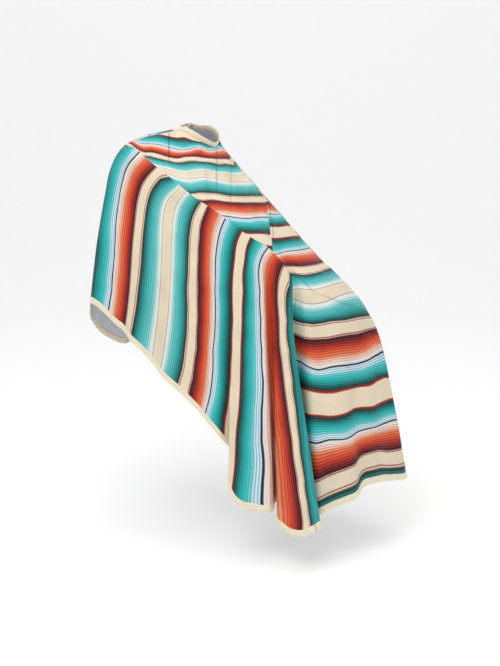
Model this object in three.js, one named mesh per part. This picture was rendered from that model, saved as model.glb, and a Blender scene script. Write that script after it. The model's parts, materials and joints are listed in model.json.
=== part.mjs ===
// Barber cape, draped as it hangs on a seated client.
// Millimetres, +Z up. The origin is the centre of the neck opening. The client faces -Y and +X is the client's left.
// The cloth is one rectangular sheet with a neck hole and a slit to the rear hem. It is described by strands that start
// on the neckband and run out to the hem, in order round the neck: slit, back right, right side, front, left side,
// back left, slit. Each strand holds 14 points: neckband top, neckband foot, four over the shoulders, chest or lap
// (the last on the ridge), seven down the fall (the last on the inner edge of the hem binding), and the hem.
import * as THREE from 'three';

// Driving dimensions.
const CLOTH_T = 1.6;        // stand-in thickness of the printed sheet
const BINDING_T = 2.6;      // folded binding tape over the sheet's edge
const NECKBAND_T = 2.4;     // stiffened neckband
const SEAM_GAP = 1.8;       // clearance between neighbouring solids
const NECK_TILT = 34 * Math.PI / 180; // the neck leans forward, so the neckband's plane does too
const NAPE_R = 67.52;       // distance from the neck centre to the straight nape part of the neckband
const SNAP_X = [16.5, 26.2];    // two snap positions on the nape, left of the slit
const SNAP_LIFT = 3;        // height of the snaps above the neck plane
const SNAP_FLANGE_R = 4.6, SNAP_FLANGE_T = 0.9;
const STUD_R = 1.7, STUD_H = 2.0;
const SOCKET_R = 4.4, SOCKET_BORE_R = 2.3, SOCKET_H = 2.2;
const CAP_R = 4.6, CAP_T = 1.1;
const TAB_T = 1.4, TAB_W = 13, TAB_START_X = -13.2, TAB_END_X = 33, TAB_ROOT_X = [-30, -14.8];

// Row numbers along a strand, and strand numbers round the neck.
const BAND_TOP = 0, BAND_FOOT = 1, RIDGE = 5, BINDING_EDGE = 12, HEM = 13;

const DRAPE = [
  [[-10.1,50.4,46.0],[-10.1,58.2,34.4],[-10.6,77.4,30.7],[-11.0,96.6,26.4],[-11.5,115.8,21.5],[-12.0,135.0,16.0],[-12.0,155.2,-34.3],[-12.0,163.6,-84.6],[-12.0,170.0,-134.9],[-12.0,175.5,-185.3],[-12.0,180.2,-235.6],[-12.0,184.5,-285.9],[-12.0,188.5,-336.2],[-12.0,190.0,-356.0]],
  [[-23.2,50.4,46.0],[-23.2,58.2,34.4],[-24.4,78.4,30.8],[-25.6,98.6,26.5],[-26.8,118.8,21.5],[-28.0,139.0,16.0],[-26.9,158.5,-40.7],[-26.4,166.6,-97.5],[-26.1,172.9,-154.2],[-25.8,178.1,-210.9],[-25.5,182.7,-267.7],[-25.3,186.9,-324.4],[-25.1,190.7,-381.2],[-25.0,192.0,-401.0]],
  [[-31.1,50.4,46.0],[-31.1,58.2,34.4],[-40.8,81.7,30.5],[-50.5,105.1,25.8],[-60.3,128.6,20.3],[-70.0,152.0,14.0],[-66.3,171.7,-61.7],[-64.8,179.8,-137.5],[-63.6,186.1,-213.2],[-62.6,191.3,-288.9],[-61.7,196.0,-364.6],[-60.9,200.2,-440.4],[-60.2,204.0,-516.1],[-60.0,205.0,-536.0]],
  [[-43.6,44.4,42.3],[-44.5,53.1,31.3],[-63.3,80.6,25.5],[-82.2,108.0,18.7],[-101.1,135.5,10.9],[-120.0,163.0,2.0],[-114.4,187.9,-89.9],[-112.1,198.3,-181.7],[-110.3,206.2,-273.6],[-108.8,212.9,-365.5],[-107.5,218.8,-457.4],[-106.3,224.1,-549.2],[-105.2,229.0,-641.1],[-105.0,230.0,-661.0]],
  [[-49.7,39.7,40.6],[-51.5,48.8,29.8],[-78.7,78.1,22.2],[-105.8,107.4,13.4],[-132.9,136.7,3.3],[-160.0,166.0,-8.0],[-171.2,204.6,-91.8],[-175.8,220.6,-175.7],[-179.3,232.9,-259.5],[-182.3,243.2,-343.3],[-184.9,252.3,-427.1],[-187.3,260.6,-511.0],[-189.5,268.2,-594.8],[-190.0,269.9,-614.5]],
  [[-53.6,35.5,40.3],[-56.3,44.6,29.4],[-89.0,72.5,20.8],[-121.6,100.3,10.9],[-154.3,128.2,-0.4],[-187.0,156.0,-13.0],[-210.4,196.4,-86.5],[-220.1,213.2,-159.9],[-227.5,226.0,-233.4],[-233.7,236.9,-306.8],[-239.3,246.4,-380.3],[-244.3,255.0,-453.7],[-248.8,263.0,-527.2],[-250.0,265.0,-546.6]],
  [[-56.0,32.2,40.6],[-59.0,41.0,29.5],[-95.5,66.8,19.7],[-132.0,92.6,8.6],[-168.5,118.4,-4.0],[-205.0,144.2,-17.9],[-234.6,176.7,-83.3],[-246.9,190.2,-148.7],[-256.3,200.5,-214.1],[-264.2,209.2,-279.5],[-271.2,216.9,-344.9],[-277.5,223.9,-410.3],[-283.4,230.2,-475.7],[-285.0,232.0,-495.1]],
  [[-59.5,25.2,41.9],[-62.7,33.2,30.3],[-100.8,51.4,21.5],[-138.9,69.6,11.3],[-176.9,87.8,-0.2],[-215.0,106.0,-13.0],[-240.9,122.0,-84.9],[-252.9,129.4,-156.8],[-262.3,135.2,-228.7],[-270.4,140.2,-300.6],[-277.7,144.7,-372.6],[-284.3,148.7,-444.5],[-290.4,152.5,-516.4],[-292.0,153.5,-536.1]],
  [[-64.7,9.3,39.4],[-68.2,16.4,27.3],[-106.1,21.4,8.7],[-144.1,26.4,-11.2],[-182.0,31.4,-32.4],[-220.0,36.4,-54.9],[-241.9,41.2,-130.8],[-253.2,43.7,-206.8],[-262.4,45.7,-282.7],[-270.3,47.5,-358.6],[-277.6,49.1,-434.5],[-284.2,50.6,-510.5],[-290.4,51.9,-586.4],[-292.0,52.3,-606.2]],
  [[-64.5,-9.5,32.0],[-68.0,-3.4,19.4],[-106.0,-12.6,-7.0],[-144.0,-21.6,-35.8],[-182.0,-30.6,-67.0],[-220.0,-39.5,-100.7],[-238.5,-41.4,-182.7],[-249.0,-42.5,-264.8],[-257.8,-43.4,-346.8],[-265.6,-44.3,-428.9],[-272.7,-45.0,-511.0],[-279.3,-45.7,-593.0],[-285.5,-46.4,-675.1],[-287.0,-46.5,-695.0]],
  [[-57.5,-25.7,22.3],[-60.6,-20.5,9.2],[-99.4,-32.4,-19.0],[-137.0,-54.6,-55.3],[-174.6,-82.0,-97.9],[-215.0,-117.7,-151.9],[-231.3,-124.9,-237.3],[-241.4,-129.4,-322.8],[-250.1,-133.2,-408.3],[-257.9,-136.7,-493.8],[-265.2,-139.9,-579.3],[-272.0,-142.9,-664.7],[-278.5,-145.8,-750.2],[-280.0,-146.4,-770.1]],
  [[-47.9,-36.5,13.4],[-50.5,-31.8,0.0],[-93.1,-50.9,-30.3],[-130.2,-85.0,-73.5],[-167.3,-127.3,-125.4],[-205.0,-191.6,-192.8],[-220.2,-202.7,-285.0],[-230.6,-210.2,-377.1],[-239.7,-216.8,-469.2],[-248.0,-222.9,-561.4],[-255.9,-228.6,-653.5],[-263.3,-234.0,-745.6],[-270.5,-239.2,-837.8],[-272.0,-240.3,-857.6]],
  [[-42.4,-40.7,9.3],[-44.7,-36.3,-4.3],[-87.2,-67.3,-40.5],[-123.8,-111.3,-89.5],[-160.4,-163.2,-147.7],[-196.0,-230.9,-220.8],[-204.9,-242.8,-320.7],[-210.9,-250.9,-420.6],[-216.2,-258.0,-520.4],[-221.1,-264.6,-620.3],[-225.7,-270.7,-720.2],[-230.0,-276.6,-820.1],[-234.2,-282.2,-919.9],[-235.0,-283.3,-939.9]],
  [[-40.3,-42.1,7.7],[-42.4,-37.8,-5.8],[-81.8,-81.0,-49.2],[-117.9,-132.9,-102.9],[-154.0,-190.1,-164.9],[-190.0,-244.3,-232.4],[-212.8,-252.9,-338.1],[-228.3,-258.8,-443.8],[-241.9,-263.9,-549.6],[-254.4,-268.7,-655.3],[-266.2,-273.1,-761.0],[-277.3,-277.3,-866.7],[-288.0,-281.4,-972.4],[-290.0,-282.1,-992.2]],
  [[-37.5,-43.8,5.9],[-39.5,-39.5,-7.7],[-77.0,-92.2,-56.7],[-112.5,-150.4,-114.1],[-148.0,-211.1,-178.6],[-185.0,-265.2,-246.3],[-210.8,-278.9,-358.4],[-228.3,-288.3,-470.4],[-243.7,-296.5,-582.5],[-257.9,-304.0,-694.6],[-271.2,-311.0,-806.6],[-283.8,-317.8,-918.7],[-295.9,-324.2,-1030.8],[-298.0,-325.3,-1050.5]],
  [[-34.1,-45.6,3.8],[-36.0,-41.4,-9.8],[-72.7,-101.3,-63.0],[-107.5,-164.7,-123.7],[-142.4,-229.2,-190.2],[-178.0,-291.8,-263.0],[-203.5,-311.0,-373.7],[-221.0,-324.1,-484.3],[-236.2,-335.5,-595.0],[-250.2,-346.1,-705.7],[-263.4,-356.0,-816.3],[-275.9,-365.4,-927.0],[-287.9,-374.4,-1037.6],[-290.0,-376.0,-1057.3]],
  [[-30.9,-47.0,2.0],[-32.6,-43.0,-11.7],[-68.7,-108.7,-68.6],[-102.9,-176.9,-132.3],[-137.0,-245.6,-200.9],[-170.0,-317.7,-276.9],[-192.8,-340.0,-386.0],[-208.3,-355.2,-495.1],[-222.0,-368.5,-604.2],[-234.5,-380.8,-713.4],[-246.2,-392.3,-822.5],[-257.4,-403.2,-931.6],[-268.1,-413.7,-1040.7],[-270.0,-415.6,-1060.4]],
  [[-29.0,-47.9,0.9],[-30.5,-43.9,-12.8],[-65.0,-115.1,-73.8],[-98.3,-187.5,-140.5],[-131.9,-260.5,-211.3],[-165.0,-335.1,-285.1],[-169.6,-346.8,-393.5],[-172.7,-354.8,-502.0],[-175.4,-361.8,-610.4],[-177.9,-368.2,-718.9],[-180.2,-374.2,-827.4],[-182.5,-380.0,-935.8],[-184.6,-385.5,-1044.3],[-185.0,-386.5,-1064.2]],
  [[-27.3,-48.5,0.1],[-28.8,-44.5,-13.7],[-61.4,-120.7,-78.8],[-93.8,-197.2,-148.9],[-126.8,-274.0,-222.4],[-160.0,-349.1,-296.5],[-180.5,-370.2,-409.4],[-194.5,-384.5,-522.4],[-206.8,-397.1,-635.3],[-218.1,-408.7,-748.2],[-228.6,-419.6,-861.2],[-238.7,-429.9,-974.1],[-248.3,-439.8,-1087.1],[-250.0,-441.5,-1106.8]],
  [[-25.5,-49.1,-0.8],[-26.9,-45.2,-14.6],[-57.8,-125.9,-84.0],[-89.1,-206.2,-157.8],[-121.3,-286.1,-234.8],[-155.0,-366.5,-313.5],[-173.0,-385.7,-425.7],[-189.8,-403.6,-537.8],[-206.1,-421.1,-650.0],[-222.2,-438.2,-762.2],[-238.0,-455.2,-874.3],[-253.7,-471.9,-986.5],[-269.3,-488.6,-1098.7],[-272.0,-491.4,-1118.2]],
  [[-23.6,-49.8,-1.7],[-24.9,-45.9,-15.5],[-54.0,-131.0,-89.3],[-84.0,-215.1,-167.3],[-115.0,-297.6,-248.6],[-148.0,-382.7,-333.9],[-161.2,-399.9,-441.9],[-176.7,-420.1,-550.0],[-193.2,-441.6,-658.0],[-210.3,-464.0,-766.0],[-228.0,-487.1,-874.1],[-246.2,-510.8,-982.1],[-264.6,-534.9,-1090.2],[-268.0,-539.3,-1109.5]],
  [[-21.9,-50.3,-2.5],[-23.1,-46.4,-16.2],[-49.8,-136.2,-94.9],[-78.2,-224.5,-177.4],[-107.7,-309.6,-263.4],[-140.0,-395.0,-357.8],[-148.9,-409.2,-460.5],[-161.2,-428.9,-563.1],[-175.2,-451.4,-665.8],[-190.5,-475.8,-768.5],[-206.7,-501.8,-871.2],[-223.8,-529.2,-973.8],[-241.6,-557.7,-1076.5],[-245.0,-563.2,-1095.8]],
  [[-19.2,-51.0,-3.6],[-20.2,-47.2,-17.4],[-44.9,-141.6,-100.6],[-71.6,-234.7,-188.1],[-99.7,-323.6,-279.0],[-122.0,-398.2,-372.2],[-121.5,-402.6,-475.2],[-120.7,-409.0,-578.2],[-119.8,-416.5,-681.3],[-118.7,-424.8,-784.3],[-117.6,-433.8,-887.3],[-116.5,-443.3,-990.4],[-115.2,-453.3,-1093.4],[-115.0,-455.3,-1113.4]],
  [[-17.5,-51.4,-4.2],[-18.4,-47.6,-18.1],[-39.3,-147.3,-106.5],[-63.5,-245.9,-199.1],[-90.4,-340.9,-295.3],[-118.0,-426.4,-391.2],[-129.8,-449.8,-486.4],[-137.9,-465.8,-581.7],[-144.9,-479.8,-676.9],[-151.4,-492.7,-772.2],[-157.5,-504.8,-867.4],[-163.3,-516.3,-962.7],[-168.9,-527.3,-1057.9],[-170.0,-529.5,-1077.7]],
  [[-14.9,-51.9,-5.1],[-15.7,-48.2,-19.0],[-32.6,-152.9,-112.1],[-53.6,-257.7,-210.0],[-78.9,-361.2,-312.0],[-108.0,-461.2,-416.4],[-114.1,-487.8,-504.3],[-118.3,-505.9,-592.3],[-122.0,-521.7,-680.2],[-125.3,-536.3,-768.1],[-128.5,-550.0,-856.1],[-131.5,-563.0,-944.0],[-134.4,-575.4,-1031.9],[-135.0,-578.1,-1051.6]],
  [[-12.2,-52.4,-6.0],[-12.9,-48.7,-19.8],[-24.7,-157.9,-117.2],[-41.3,-269.1,-220.3],[-63.3,-382.3,-328.4],[-95.0,-501.1,-444.6],[-90.5,-526.0,-526.2],[-87.4,-543.1,-607.7],[-84.7,-558.0,-689.3],[-82.2,-571.7,-770.9],[-79.8,-584.6,-852.4],[-77.6,-596.8,-934.0],[-75.5,-608.5,-1015.6],[-75.0,-611.3,-1035.2]],
  [[-8.6,-52.9,-6.9],[-9.1,-49.1,-20.8],[-15.5,-161.7,-121.2],[-26.5,-278.4,-229.1],[-42.2,-401.1,-343.8],[-70.0,-527.9,-461.3],[-59.8,-547.2,-537.5],[-52.9,-560.4,-613.7],[-46.8,-571.9,-689.9],[-41.2,-582.5,-766.1],[-36.0,-592.5,-842.4],[-31.0,-602.0,-918.6],[-26.2,-611.0,-994.8],[-25.0,-613.3,-1014.5]],
  [[-3.6,-53.3,-7.9],[-3.8,-49.6,-21.8],[-5.4,-163.2,-123.5],[-9.7,-283.5,-235.1],[-16.0,-414.3,-356.7],[-30.0,-547.5,-477.0],[-18.7,-567.4,-550.9],[-11.0,-581.0,-624.7],[-4.2,-592.9,-698.6],[2.0,-603.8,-772.4],[7.8,-614.1,-846.2],[13.3,-623.8,-920.1],[18.6,-633.2,-993.9],[20.0,-635.6,-1013.6]],
  [[2.3,-53.3,-8.1],[2.5,-49.6,-21.9],[5.3,-161.6,-123.3],[8.0,-282.2,-236.5],[12.5,-417.9,-364.4],[20.0,-562.7,-495.3],[32.4,-584.2,-568.0],[40.9,-598.8,-640.7],[48.3,-611.6,-713.4],[55.1,-623.3,-786.1],[61.5,-634.4,-858.8],[67.6,-644.9,-931.5],[73.5,-654.9,-1004.3],[75.0,-657.6,-1023.8]],
  [[7.9,-53.0,-7.1],[8.4,-49.2,-21.0],[16.2,-156.1,-120.0],[25.3,-272.8,-231.8],[39.4,-407.3,-362.1],[70.0,-574.1,-526.6],[82.4,-596.3,-595.8],[90.9,-611.4,-665.0],[98.3,-624.7,-734.2],[105.1,-636.9,-803.4],[111.5,-648.3,-872.6],[117.6,-659.2,-941.8],[123.4,-669.6,-1010.9],[125.0,-672.5,-1030.5]],
  [[11.4,-52.5,-6.2],[12.0,-48.8,-20.1],[26.9,-146.1,-113.0],[41.4,-254.4,-219.6],[61.6,-379.2,-345.4],[95.0,-539.7,-510.0],[118.7,-530.8,-577.4],[134.8,-524.7,-644.7],[149.0,-519.3,-712.1],[161.9,-514.4,-779.4],[174.1,-509.8,-846.8],[185.7,-505.4,-914.1],[196.9,-501.2,-981.5],[200.0,-500.0,-1001.0]],
  [[14.8,-52.0,-5.2],[15.5,-48.2,-19.0],[37.4,-131.6,-102.3],[55.9,-227.2,-200.0],[78.6,-334.2,-313.2],[105.0,-454.7,-446.5],[133.2,-442.4,-515.1],[152.4,-434.0,-583.7],[169.3,-426.6,-652.3],[184.8,-419.8,-720.9],[199.3,-413.4,-789.5],[213.1,-407.4,-858.1],[226.4,-401.6,-926.7],[230.0,-400.0,-946.0]],
  [[20.3,-50.7,-3.1],[21.4,-46.9,-16.9],[47.7,-112.7,-88.3],[69.0,-192.6,-174.0],[92.1,-277.3,-269.2],[115.0,-353.7,-365.3],[144.3,-337.0,-434.1],[164.3,-325.7,-502.9],[181.9,-315.8,-571.7],[198.0,-306.6,-640.5],[213.1,-298.1,-709.3],[227.5,-289.9,-778.0],[241.2,-282.1,-846.8],[245.0,-280.0,-866.0]],
  [[28.3,-48.1,0.6],[29.8,-44.1,-13.2],[58.0,-89.8,-71.4],[81.4,-152.3,-143.7],[104.6,-215.0,-219.7],[125.0,-261.4,-284.6],[154.3,-236.3,-350.7],[174.3,-219.1,-416.8],[191.8,-204.1,-482.9],[207.9,-190.3,-548.9],[223.0,-177.4,-615.0],[237.4,-165.1,-681.1],[251.2,-153.3,-747.2],[255.0,-150.0,-766.0]],
  [[40.4,-42.1,7.8],[42.5,-37.7,-5.7],[68.3,-63.2,-52.5],[93.8,-108.1,-111.0],[117.9,-151.8,-170.1],[140.0,-179.2,-224.6],[168.2,-143.3,-286.5],[187.4,-118.9,-348.3],[204.2,-97.4,-410.2],[219.7,-77.7,-472.1],[234.2,-59.3,-534.0],[248.0,-41.7,-595.9],[261.2,-24.9,-657.8],[265.0,-20.0,-676.0]],
  [[52.2,-32.4,17.1],[55.0,-27.5,3.8],[78.8,-33.8,-32.3],[106.6,-60.9,-77.5],[132.7,-87.9,-122.6],[155.0,-118.0,-168.4],[182.0,-71.1,-227.0],[200.5,-39.2,-285.6],[216.6,-11.2,-344.2],[231.4,14.5,-402.8],[245.4,38.6,-461.4],[258.6,61.6,-520.0],[271.3,83.6,-578.6],[275.0,90.0,-596.0]],
  [[62.9,-15.2,29.0],[66.2,-9.4,16.2],[89.3,-2.1,-11.5],[119.8,-11.6,-44.1],[149.2,-21.7,-77.2],[172.0,-50.8,-114.9],[197.5,-1.1,-174.0],[214.8,32.8,-233.1],[230.0,62.6,-292.2],[244.0,89.9,-351.3],[257.1,115.5,-410.4],[269.6,139.9,-469.6],[281.6,163.3,-528.7],[285.0,170.0,-546.0]],
  [[63.2,15.3,41.1],[66.6,22.7,29.2],[100.0,30.7,9.7],[133.3,38.8,-11.0],[166.7,46.9,-32.9],[200.0,55.0,-56.0],[225.8,109.6,-117.7],[239.1,137.8,-179.3],[249.9,160.6,-241.0],[259.3,180.5,-302.7],[267.8,198.5,-364.4],[275.6,215.1,-426.0],[282.9,230.6,-487.7],[285.0,235.0,-506.0]],
  [[58.8,26.8,41.6],[62.0,35.0,30.2],[97.7,53.8,10.2],[133.5,72.5,-11.2],[169.2,91.3,-33.9],[205.0,110.0,-58.0],[223.5,166.3,-125.0],[231.2,189.6,-192.0],[237.1,207.6,-259.0],[242.1,222.6,-326.0],[246.4,235.9,-393.0],[250.4,248.0,-460.0],[254.0,259.0,-527.0],[255.0,262.0,-546.0]],
  [[53.6,35.5,40.3],[56.3,44.6,29.4],[87.2,71.0,13.5],[118.2,97.3,-3.6],[149.1,123.7,-22.2],[180.0,150.0,-42.0],[183.7,187.1,-119.8],[185.3,202.5,-197.5],[186.4,214.3,-275.3],[187.4,224.3,-353.0],[188.3,233.0,-430.8],[189.1,241.0,-508.6],[189.8,248.2,-586.3],[190.0,250.0,-606.0]],
  [[44.6,43.8,42.0],[45.6,52.5,31.0],[65.4,80.1,20.4],[85.3,107.8,8.7],[105.1,135.4,-4.1],[125.0,163.0,-18.0],[117.6,187.9,-107.0],[114.5,198.3,-196.0],[112.1,206.2,-285.1],[110.1,212.9,-374.1],[108.4,218.7,-463.1],[106.8,224.1,-552.1],[105.3,229.0,-641.1],[105.0,230.0,-661.0]],
  [[31.1,50.4,46.0],[31.1,58.2,34.4],[40.8,81.7,28.5],[50.5,105.1,21.8],[60.3,128.6,14.3],[70.0,152.0,6.0],[66.3,171.7,-68.6],[64.8,179.8,-143.2],[63.6,186.1,-217.8],[62.6,191.3,-292.3],[61.7,196.0,-366.9],[60.9,200.2,-441.5],[60.2,204.0,-516.1],[60.0,205.0,-536.0]],
  [[23.2,50.4,46.0],[23.2,58.2,34.4],[24.4,78.4,30.3],[25.6,98.6,25.5],[26.8,118.8,20.0],[28.0,139.0,14.0],[26.9,158.5,-42.5],[26.4,166.6,-98.9],[26.1,172.9,-155.4],[25.8,178.1,-211.8],[25.5,182.7,-268.3],[25.3,186.9,-324.7],[25.1,190.7,-381.2],[25.0,192.0,-401.0]],
  [[10.1,50.4,46.0],[10.1,58.2,34.4],[10.6,77.4,30.5],[11.0,96.6,25.9],[11.5,115.8,20.8],[12.0,135.0,15.0],[12.0,155.2,-35.2],[12.0,163.6,-85.3],[12.0,170.0,-135.5],[12.0,175.5,-185.7],[12.0,180.2,-235.9],[12.0,184.5,-286.0],[12.0,188.5,-336.2],[12.0,190.0,-356.0]]
];
const STRANDS = DRAPE.length;

const at = (i, j) => new THREE.Vector3(...DRAPE[i][j]);
function cellNormal(i, j) {
  const a = at(i, j), b = at(i + 1, j), c = at(i + 1, j + 1), d = at(i, j + 1);
  return new THREE.Vector3().subVectors(d, b).cross(new THREE.Vector3().subVectors(c, a));
}
// Outward normal at a net point: the mean of the cells round it.
const normals = DRAPE.map((strand, i) => strand.map((_, j) => {
  const n = new THREE.Vector3();
  for (const di of [-1, 0]) for (const dj of [-1, 0]) {
    const ci = i + di, cj = j + dj;
    if (ci < 0 || cj < 0 || ci > STRANDS - 2 || cj > HEM - 1) continue;
    n.add(cellNormal(ci, cj).normalize());
  }
  return n.normalize();
}));

// One closed panel over the cells between two strands and two rows, its outer face raised by lift from the net.
function panel(i0, i1, j0, j1, thickness, lift = 0) {
  const ni = i1 - i0 + 1, nj = j1 - j0 + 1, positions = [], index = [];
  const inset = (i, j) => {
    const p = at(i, j), g = SEAM_GAP / 2;
    if (i === i0) p.add(at(i + 1, j).sub(at(i, j)).setLength(g));
    if (i === i1) p.add(at(i - 1, j).sub(at(i, j)).setLength(g));
    if (j === j0) p.add(at(i, j + 1).sub(at(i, j)).setLength(g));
    if (j === j1) p.add(at(i, j - 1).sub(at(i, j)).setLength(g));
    return p;
  };
  for (const depth of [lift, lift - thickness]) {
    for (let i = i0; i <= i1; i++) for (let j = j0; j <= j1; j++) {
      const p = inset(i, j).addScaledVector(normals[i][j], depth);
      positions.push(p.x, p.y, p.z);
    }
  }
  const outer = (i, j) => i * nj + j, inner = (i, j) => ni * nj + i * nj + j;
  const quad = (a, b, c, d) => index.push(a, b, c, a, c, d);
  for (let i = 0; i < ni - 1; i++) for (let j = 0; j < nj - 1; j++) {
    quad(outer(i, j), outer(i, j + 1), outer(i + 1, j + 1), outer(i + 1, j));
    quad(inner(i, j), inner(i + 1, j), inner(i + 1, j + 1), inner(i, j + 1));
  }
  for (let i = 0; i < ni - 1; i++) {
    quad(outer(i, 0), outer(i + 1, 0), inner(i + 1, 0), inner(i, 0));
    quad(outer(i + 1, nj - 1), outer(i, nj - 1), inner(i, nj - 1), inner(i + 1, nj - 1));
  }
  for (let j = 0; j < nj - 1; j++) {
    quad(outer(0, j + 1), outer(0, j), inner(0, j), inner(0, j + 1));
    quad(outer(ni - 1, j), outer(ni - 1, j + 1), inner(ni - 1, j + 1), inner(ni - 1, j));
  }
  const geometry = new THREE.BufferGeometry();
  geometry.setAttribute('position', new THREE.Float32BufferAttribute(positions, 3));
  geometry.setIndex(index);
  geometry.computeVertexNormals();
  return geometry;
}

const group = new THREE.Group();
const printed = () => new THREE.MeshStandardMaterial({ color: 0x40beb7, roughness: 0.75, metalness: 0 });
const tape = () => new THREE.MeshStandardMaterial({ color: 0xebdebe, roughness: 0.8, metalness: 0 });
const nickel = () => new THREE.MeshStandardMaterial({ color: 0xc9c6bf, roughness: 0.3, metalness: 1 });
function add(parent, name, geometry, material) {
  const mesh = new THREE.Mesh(geometry, material);
  mesh.name = name;
  parent.add(mesh);
  return mesh;
}

// Printed sheet: yokes over the shoulders, chest and lap, then the falls below the ridge.
const YOKES = {
  back_right_yoke: [1, 6], right_shoulder_yoke: [6, 11], chest_right: [11, 21], lap: [21, 29],
  chest_left: [29, 37], left_shoulder_yoke: [37, 42],
};
const FALLS = {
  back_right_fall: [1, 5], right_rear_fall: [5, 10], right_side_fall: [10, 14], right_pleat_fall: [14, 19],
  right_corner_fall: [19, 23], front_fall: [23, 29], left_front_fall: [29, 33], left_side_fall: [33, 38],
  back_left_fall: [38, 42],
};
for (const [name, [a, b]] of Object.entries(YOKES)) add(group, name, panel(a, b, BAND_FOOT, RIDGE, CLOTH_T), printed());
for (const [name, [a, b]] of Object.entries(FALLS)) add(group, name, panel(a, b, RIDGE, BINDING_EDGE, CLOTH_T), printed());

// Binding tape along the hems and the slit.
const BINDINGS = {
  rear_right_hem_binding: [0, 3], right_hem_binding: [3, 21], front_hem_binding: [21, 30], left_hem_binding: [30, 40],
  rear_left_hem_binding: [40, STRANDS - 1],
};
for (const [name, [a, b]] of Object.entries(BINDINGS)) add(group, name, panel(a, b, BINDING_EDGE, HEM, BINDING_T, 0.5), tape());
add(group, 'right_slit_binding', panel(0, 1, BAND_FOOT, BINDING_EDGE, BINDING_T, 0.5), tape());
add(group, 'left_slit_binding', panel(STRANDS - 2, STRANDS - 1, BAND_FOOT, BINDING_EDGE, BINDING_T, 0.5), tape());

// Neckband: one stiffened strip from one side of the slit round to the other.
add(group, 'neckband', panel(0, STRANDS - 1, BAND_TOP, BAND_FOOT, NECKBAND_T), tape());

// Nape closure, in a group whose +Z points outwards from the nape and +Y up the leaning neck.
const nape = new THREE.Group();
nape.matrixAutoUpdate = false;
const outwards = new THREE.Vector3(0, Math.cos(NECK_TILT), Math.sin(NECK_TILT));
const upNeck = new THREE.Vector3(0, -Math.sin(NECK_TILT), Math.cos(NECK_TILT));
nape.matrix.makeBasis(new THREE.Vector3(-1, 0, 0), upNeck, outwards);
group.add(nape);
// In this group local x runs to the client's right, so a position X on the client's left is -X here.
function disc(radius, bottom, height, x, boreRadius = 0) {
  const r0 = boreRadius;
  const profile = [[r0, 0], [radius, 0], [radius, height], [r0, height], [r0, 0]].map(([r, h]) => new THREE.Vector2(r, h));
  const g = new THREE.LatheGeometry(profile, 24);
  g.rotateX(Math.PI / 2);
  g.translate(-x, SNAP_LIFT, bottom);
  return g;
}
function strip(x0, x1, bottom, height, width) {
  const g = new THREE.BoxGeometry(Math.abs(x1 - x0), width, height);
  g.translate(-(x0 + x1) / 2, SNAP_LIFT, bottom + height / 2);
  return g;
}
const BAND_OUT = NAPE_R + 0.6;                       // above the band's outer face
const FLANGE_Z = BAND_OUT + 0.3;
const SOCKET_Z = FLANGE_Z + SNAP_FLANGE_T + 0.3;
const TAB_Z = SOCKET_Z + SOCKET_H + 0.3;
const CAP_Z = TAB_Z + TAB_T + 0.3;
const POST_Z = NAPE_R - NECKBAND_T - 1.6;
add(nape, 'closure_tab_root', strip(TAB_ROOT_X[0], TAB_ROOT_X[1], FLANGE_Z, TAB_Z + TAB_T - FLANGE_Z, TAB_W), tape());
add(nape, 'closure_tab', strip(TAB_START_X, TAB_END_X, TAB_Z, TAB_T, TAB_W), tape());
SNAP_X.forEach((x, k) => {
  const n = k + 1;
  // Stud: flange on the band with a knob standing out of it.
  const knob = [[0, 0], [SNAP_FLANGE_R, 0], [SNAP_FLANGE_R, SNAP_FLANGE_T], [STUD_R * 0.8, SNAP_FLANGE_T],
    [STUD_R * 0.8, SNAP_FLANGE_T + STUD_H * 0.4], [STUD_R, SNAP_FLANGE_T + STUD_H * 0.7], [STUD_R * 0.7, SNAP_FLANGE_T + STUD_H],
    [0, SNAP_FLANGE_T + STUD_H]].map(([r, h]) => new THREE.Vector2(r, h));
  const stud = new THREE.LatheGeometry(knob, 24);
  stud.rotateX(Math.PI / 2);
  stud.translate(-x, SNAP_LIFT, FLANGE_Z);
  add(nape, `snap_${n}_stud`, stud, nickel());
  add(nape, `snap_${n}_post`, disc(SNAP_FLANGE_R, POST_Z, SNAP_FLANGE_T, x), nickel());
  add(nape, `snap_${n}_socket`, disc(SOCKET_R, SOCKET_Z, SOCKET_H, x, SOCKET_BORE_R), nickel());
  add(nape, `snap_${n}_cap`, disc(CAP_R, CAP_Z, CAP_T, x), nickel());
});

export default group;
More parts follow.
